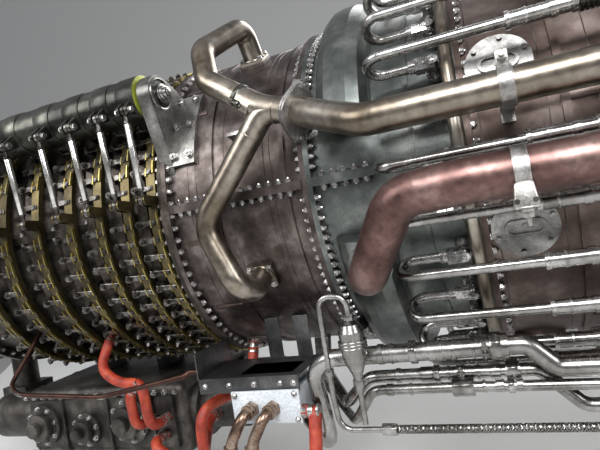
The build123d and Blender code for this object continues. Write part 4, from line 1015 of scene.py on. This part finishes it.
# %% Canister trim
can_x, can_y = 2.010, -0.492
beads = ((-0.3365, 0.0283, 0.0017), (-0.3430, 0.0283, 0.0017), (-0.3495, 0.0283, 0.0017))
beads += ((-0.3180, 0.0262, 0.0009),)
canister_trim = [ring_round((can_x, can_y, z), (0, 0, 1), r, thickness) for z, r, thickness in beads]
for x, low, high, radius, sides in (
    (can_x, -0.2960, -0.2820, 0.0110, 6),
    (can_x, -0.4300, -0.4160, 0.0125, 6),
    (can_x, -0.4420, -0.4300, 0.0098, 20),
    (1.950, -0.4060, -0.3920, 0.0100, 20),
):
    canister_trim.append(soften(drum((x, can_y, low), (x, can_y, high), radius, sides=sides), 0.0006))
loop_nut = drum((2.044, can_y, -0.520), (2.072, can_y, -0.520), 0.0128, sides=6)
canister_trim.append(soften(loop_nut, 0.0006))
worn("canister_beads", canister_trim, tube_steel, "casing")

# %% [markdown]
# The braided line is a dark core with steel strands wound both ways round it. Each
# strand is a helix through its own points, and one helix of each hand is copied round
# the core by turning it.

# %% Braided line
braid_y, braid_z, braid_r, strand_r = -0.492, -0.520, 0.0080, 0.0079
hose_path = [(2.0745, braid_y, braid_z), (2.910, braid_y, braid_z), (2.910, -0.330, -0.349)]
core = tube(hose_path, braid_r * 0.94, 0.045)
braid = []
for hand in (-1, 1):
    points = []
    for k in range(386):
        turn = hand * k * 0.42
        points.append((2.078 + 0.002 * k, strand_r * cos(turn), strand_r * sin(turn)))
    strand = tube(points, 0.00085, 0, rounds=0)
    strand.data.materials.append(tube_steel)
    on_line = Matrix.Translation((0, braid_y, braid_z))
    turns = [on_line @ Matrix.Rotation(radians(60 * k), 4, "X") for k in range(6)]
    braid.append(copies("strand", strand, turns))
worn("braided_hose_core", [core], shaft_steel, "casing", "flexible_lines")
worn("braided_hose_strands", braid, tube_steel, "casing", "flexible_lines", smooth=60)

# %% [markdown]
# Oil and drain hoses below the compressor wear orange-red fire sleeves. A sleeve is a
# fat tube, and at each end a steel band holds it on the hose's metal fitting.

# %% Fire-sleeved hoses
def mm(*points):
    return [Vector(p) / 1000 for p in points]


case_point = spot(1.190, 0.3925, -50.5)
drain_start = spot(1.625, 0.4240, -64)
hose_routes = [
    [case_point, spot(1.190, 0.520, -50.5)]
    + mm((1272, -352, -440), (1352, -356, -440), (1352, -350, -570), (1352, -266, -570)),
    mm((1345, -355, -441), (1300, -352, -470), (1300, -345, -570), (1300, -266, -570)),
    [drain_start, spot(1.625, 0.545, -64)]
    + mm((1552, -396, -507), (1545, -400, -625), (1480, -262, -585), (1480, -204, -585)),
    mm((1859, -454, -492), (1888, -454, -492), (1886, -490, -600), (1800, -420, -655))
    + mm((1400, -342, -655), (1335, -335, -620), (1335, -266, -620)),
]
sleeves = [tube(route, 0.0145, 0.045) for route in hose_routes]
worn("fire_sleeves", sleeves, sleeve_orange, "casing", "flexible_lines")
bands = []
for route in hose_routes:
    for near, on in ((route[0], route[1]), (route[-1], route[-2])):
        way = (on - near).normalized()
        bands.append(drum(near, near + way * 0.012, 0.0162, sides=6))
        bands.append(drum(near + way * 0.016, near + way * 0.028, 0.0156, sides=28))
        bands.append(drum(near + way * 0.036, near + way * 0.041, 0.0156, sides=28))
worn("sleeve_bands", bands, nut_steel, "casing")

# %% [markdown]
# The thin sensing pipe is brown with age, unlike the bright pipes beside it, so it
# gets a skin that is a little fatter than the solid.

# %% Sensing pipe
sensing_route = [spot(0.940, 0.3925, -44), spot(0.940, 0.590, -44)]
sensing_route += mm((990, -440, -431), (1285, -440, -448), (1555, -440, -405))
sensing_route += mm((1564, -432, -398), (1599.5, -432, -398))
skin = tube(sensing_route, 0.0066, 0.030)
worn("sensing_pipe_skin", [skin], brown_line, "casing", smooth=60)

# %% [markdown]
# A folded sheet tray carries a painted junction box. Each is made as it is on the
# engine: the tray from flat leaves with rounded edges, the box with a lid and corner
# screws, and two cable glands of bronze that turn down in elbows.

# %% Tray, junction box and glands
front, back_y, base, base_top, first_x, last_x = -0.454, -0.290, -0.416, -0.412, 1.600, 1.860
tray = [
    block((first_x, -0.450, base), (last_x, back_y, base_top)),
    block((first_x, front, -0.447), (last_x, -0.450, base_top)),
    block((first_x, front, -0.447), (1.604, back_y, -0.350)),
]
for x in (1.720, 1.800):
    tray.append(block((x, -0.294, base), (x + 0.040, back_y, -0.310)))
tray = [soften(leaf, 0.0012) for leaf in tray]
worn("tray_sheet", tray, sheet_steel, "casing", "instrument_tray")
box_parts = [
    soften(block((1.692, -0.458, -0.514), (1.858, -0.320, -0.443)), 0.003),
    soften(block((1.690, -0.464, -0.5155), (1.860, -0.4555, -0.4415)), 0.0022),
    soften(block((1.700, -0.430, -0.4455), (1.838, -0.340, -0.412)), 0.002),
]
worn("junction_box", box_parts, box_paint, "casing", "instrument_tray")
gland_parts = []
gland_rings = (
    ((0, -0.464, -0.480), (-0.001, -0.478, -0.4812), 0.0190, 6, 0.0012),
    ((-0.001, -0.478, -0.4812), (-0.003, -0.489, -0.4824), 0.0170, 24, 0.0012),
    ((-0.0445, -0.5095, -0.547), (-0.0455, -0.5080, -0.561), 0.0178, 6, 0.0012),
    ((-0.0460, -0.5070, -0.568), (-0.0470, -0.5055, -0.584), 0.0165, 28, 0.0010),
)
for x in (1.741, 1.794):
    elbow = [(x, -0.460, -0.480), (x - 0.006, -0.506, -0.484)]
    elbow += [(x - 0.044, -0.510, -0.545), (x - 0.048, -0.502, -0.6195)]
    gland_parts.append(tube(elbow, 0.0130, 0.022))
    for start, end, radius, sides, edge in gland_rings:
        start, end = (x + start[0], *start[1:]), (x + end[0], *end[1:])
        gland_parts.append(soften(drum(start, end, radius, sides=sides), edge))
worn("cable_glands", gland_parts, bronze, "casing", "instrument_tray")
screw = hex_nut("screw", 0.0105, 0.006, stud=0.003)
screw_spots = [(x, -0.4545, -0.4285) for x in (1.62, 1.685, 1.75, 1.815, 1.848)]
screw_spots += [(x, -0.4640, z) for x in (1.700, 1.850) for z in (-0.507, -0.450)]
on_case("tray_screws", screw, [Matrix.Translation(p) @ leftwards for p in screw_spots])

# %% [markdown]
# The accessory gearbox is a plain casting so far. Its near side gets what such a
# gearbox has: ribs, round pads for its pumps with their bolts, and a bolted rim.

# %% Gearbox pads and ribs
side_y = -0.264
pads, nut_spots = [], []
pad_list = ((0.870, -0.585, 0.066), (1.045, -0.600, 0.052), (1.215, -0.575, 0.070))
pad_steps = (
    (-0.010, 0.014, 1, 48, 0.003),
    (0.012, 0.040, 0.66, 40, 0.006),
    (0.038, 0.062, 0.36, 28, 0.003),
)
for x, z, r in pad_list:
    for near, far, share, sides, edge in pad_steps:
        step = drum((x, side_y - near, z), (x, side_y - far, z), r * share, sides=sides)
        pads.append(soften(step, edge))
    for k in range(8):
        turn = radians(45 * k + 12)
        nut_spots.append((x + r * 0.84 * cos(turn), side_y - 0.014, z + r * 0.84 * sin(turn)))
for x in (0.955, 1.135, 1.300):
    rib = block((x - 0.004, side_y - 0.010, -0.672), (x + 0.004, side_y + 0.01, -0.505))
    pads.append(soften(rib, 0.002))
rim_x = [0.80 + 0.0365 * k for k in range(17)]
nut_spots += [(x, side_y + 0.001, z) for x in rim_x for z in (-0.4985, -0.6765)]
worn("gearbox_pads", pads, gear_iron, "casing")
gear_nut = hex_nut("gear_nut", 0.0125, 0.008)
on_case("gearbox_nuts", gear_nut, [Matrix.Translation(p) @ leftwards for p in nut_spots])

# %% [markdown]
# Every floor in a studio runs on past the picture. A pale plane below the gearbox and
# a pale wall behind stand for it.

# %% Floor and wall
bpy.ops.mesh.primitive_plane_add(size=60, location=(2.2, 0, -0.86))
floor = bpy.context.object
floor.name = "floor"
bpy.ops.mesh.primitive_plane_add(size=60, location=(2.2, 9, 0), rotation=(radians(90), 0, 0))
wall = bpy.context.object
wall.name = "wall"
pale = bpy.data.materials.new("pale_floor")
pale.use_nodes = True
pale.node_tree.nodes["Principled BSDF"].inputs["Base Color"].default_value = (0.62, 0.62, 0.61, 1)
pale.node_tree.nodes["Principled BSDF"].inputs["Roughness"].default_value = 0.8
for plane in (floor, wall):
    plane.data.materials.append(pale)

# %% [markdown]
# The nut that was only there to be copied is removed.

# %% Clear up
bpy.data.objects.remove(nut)
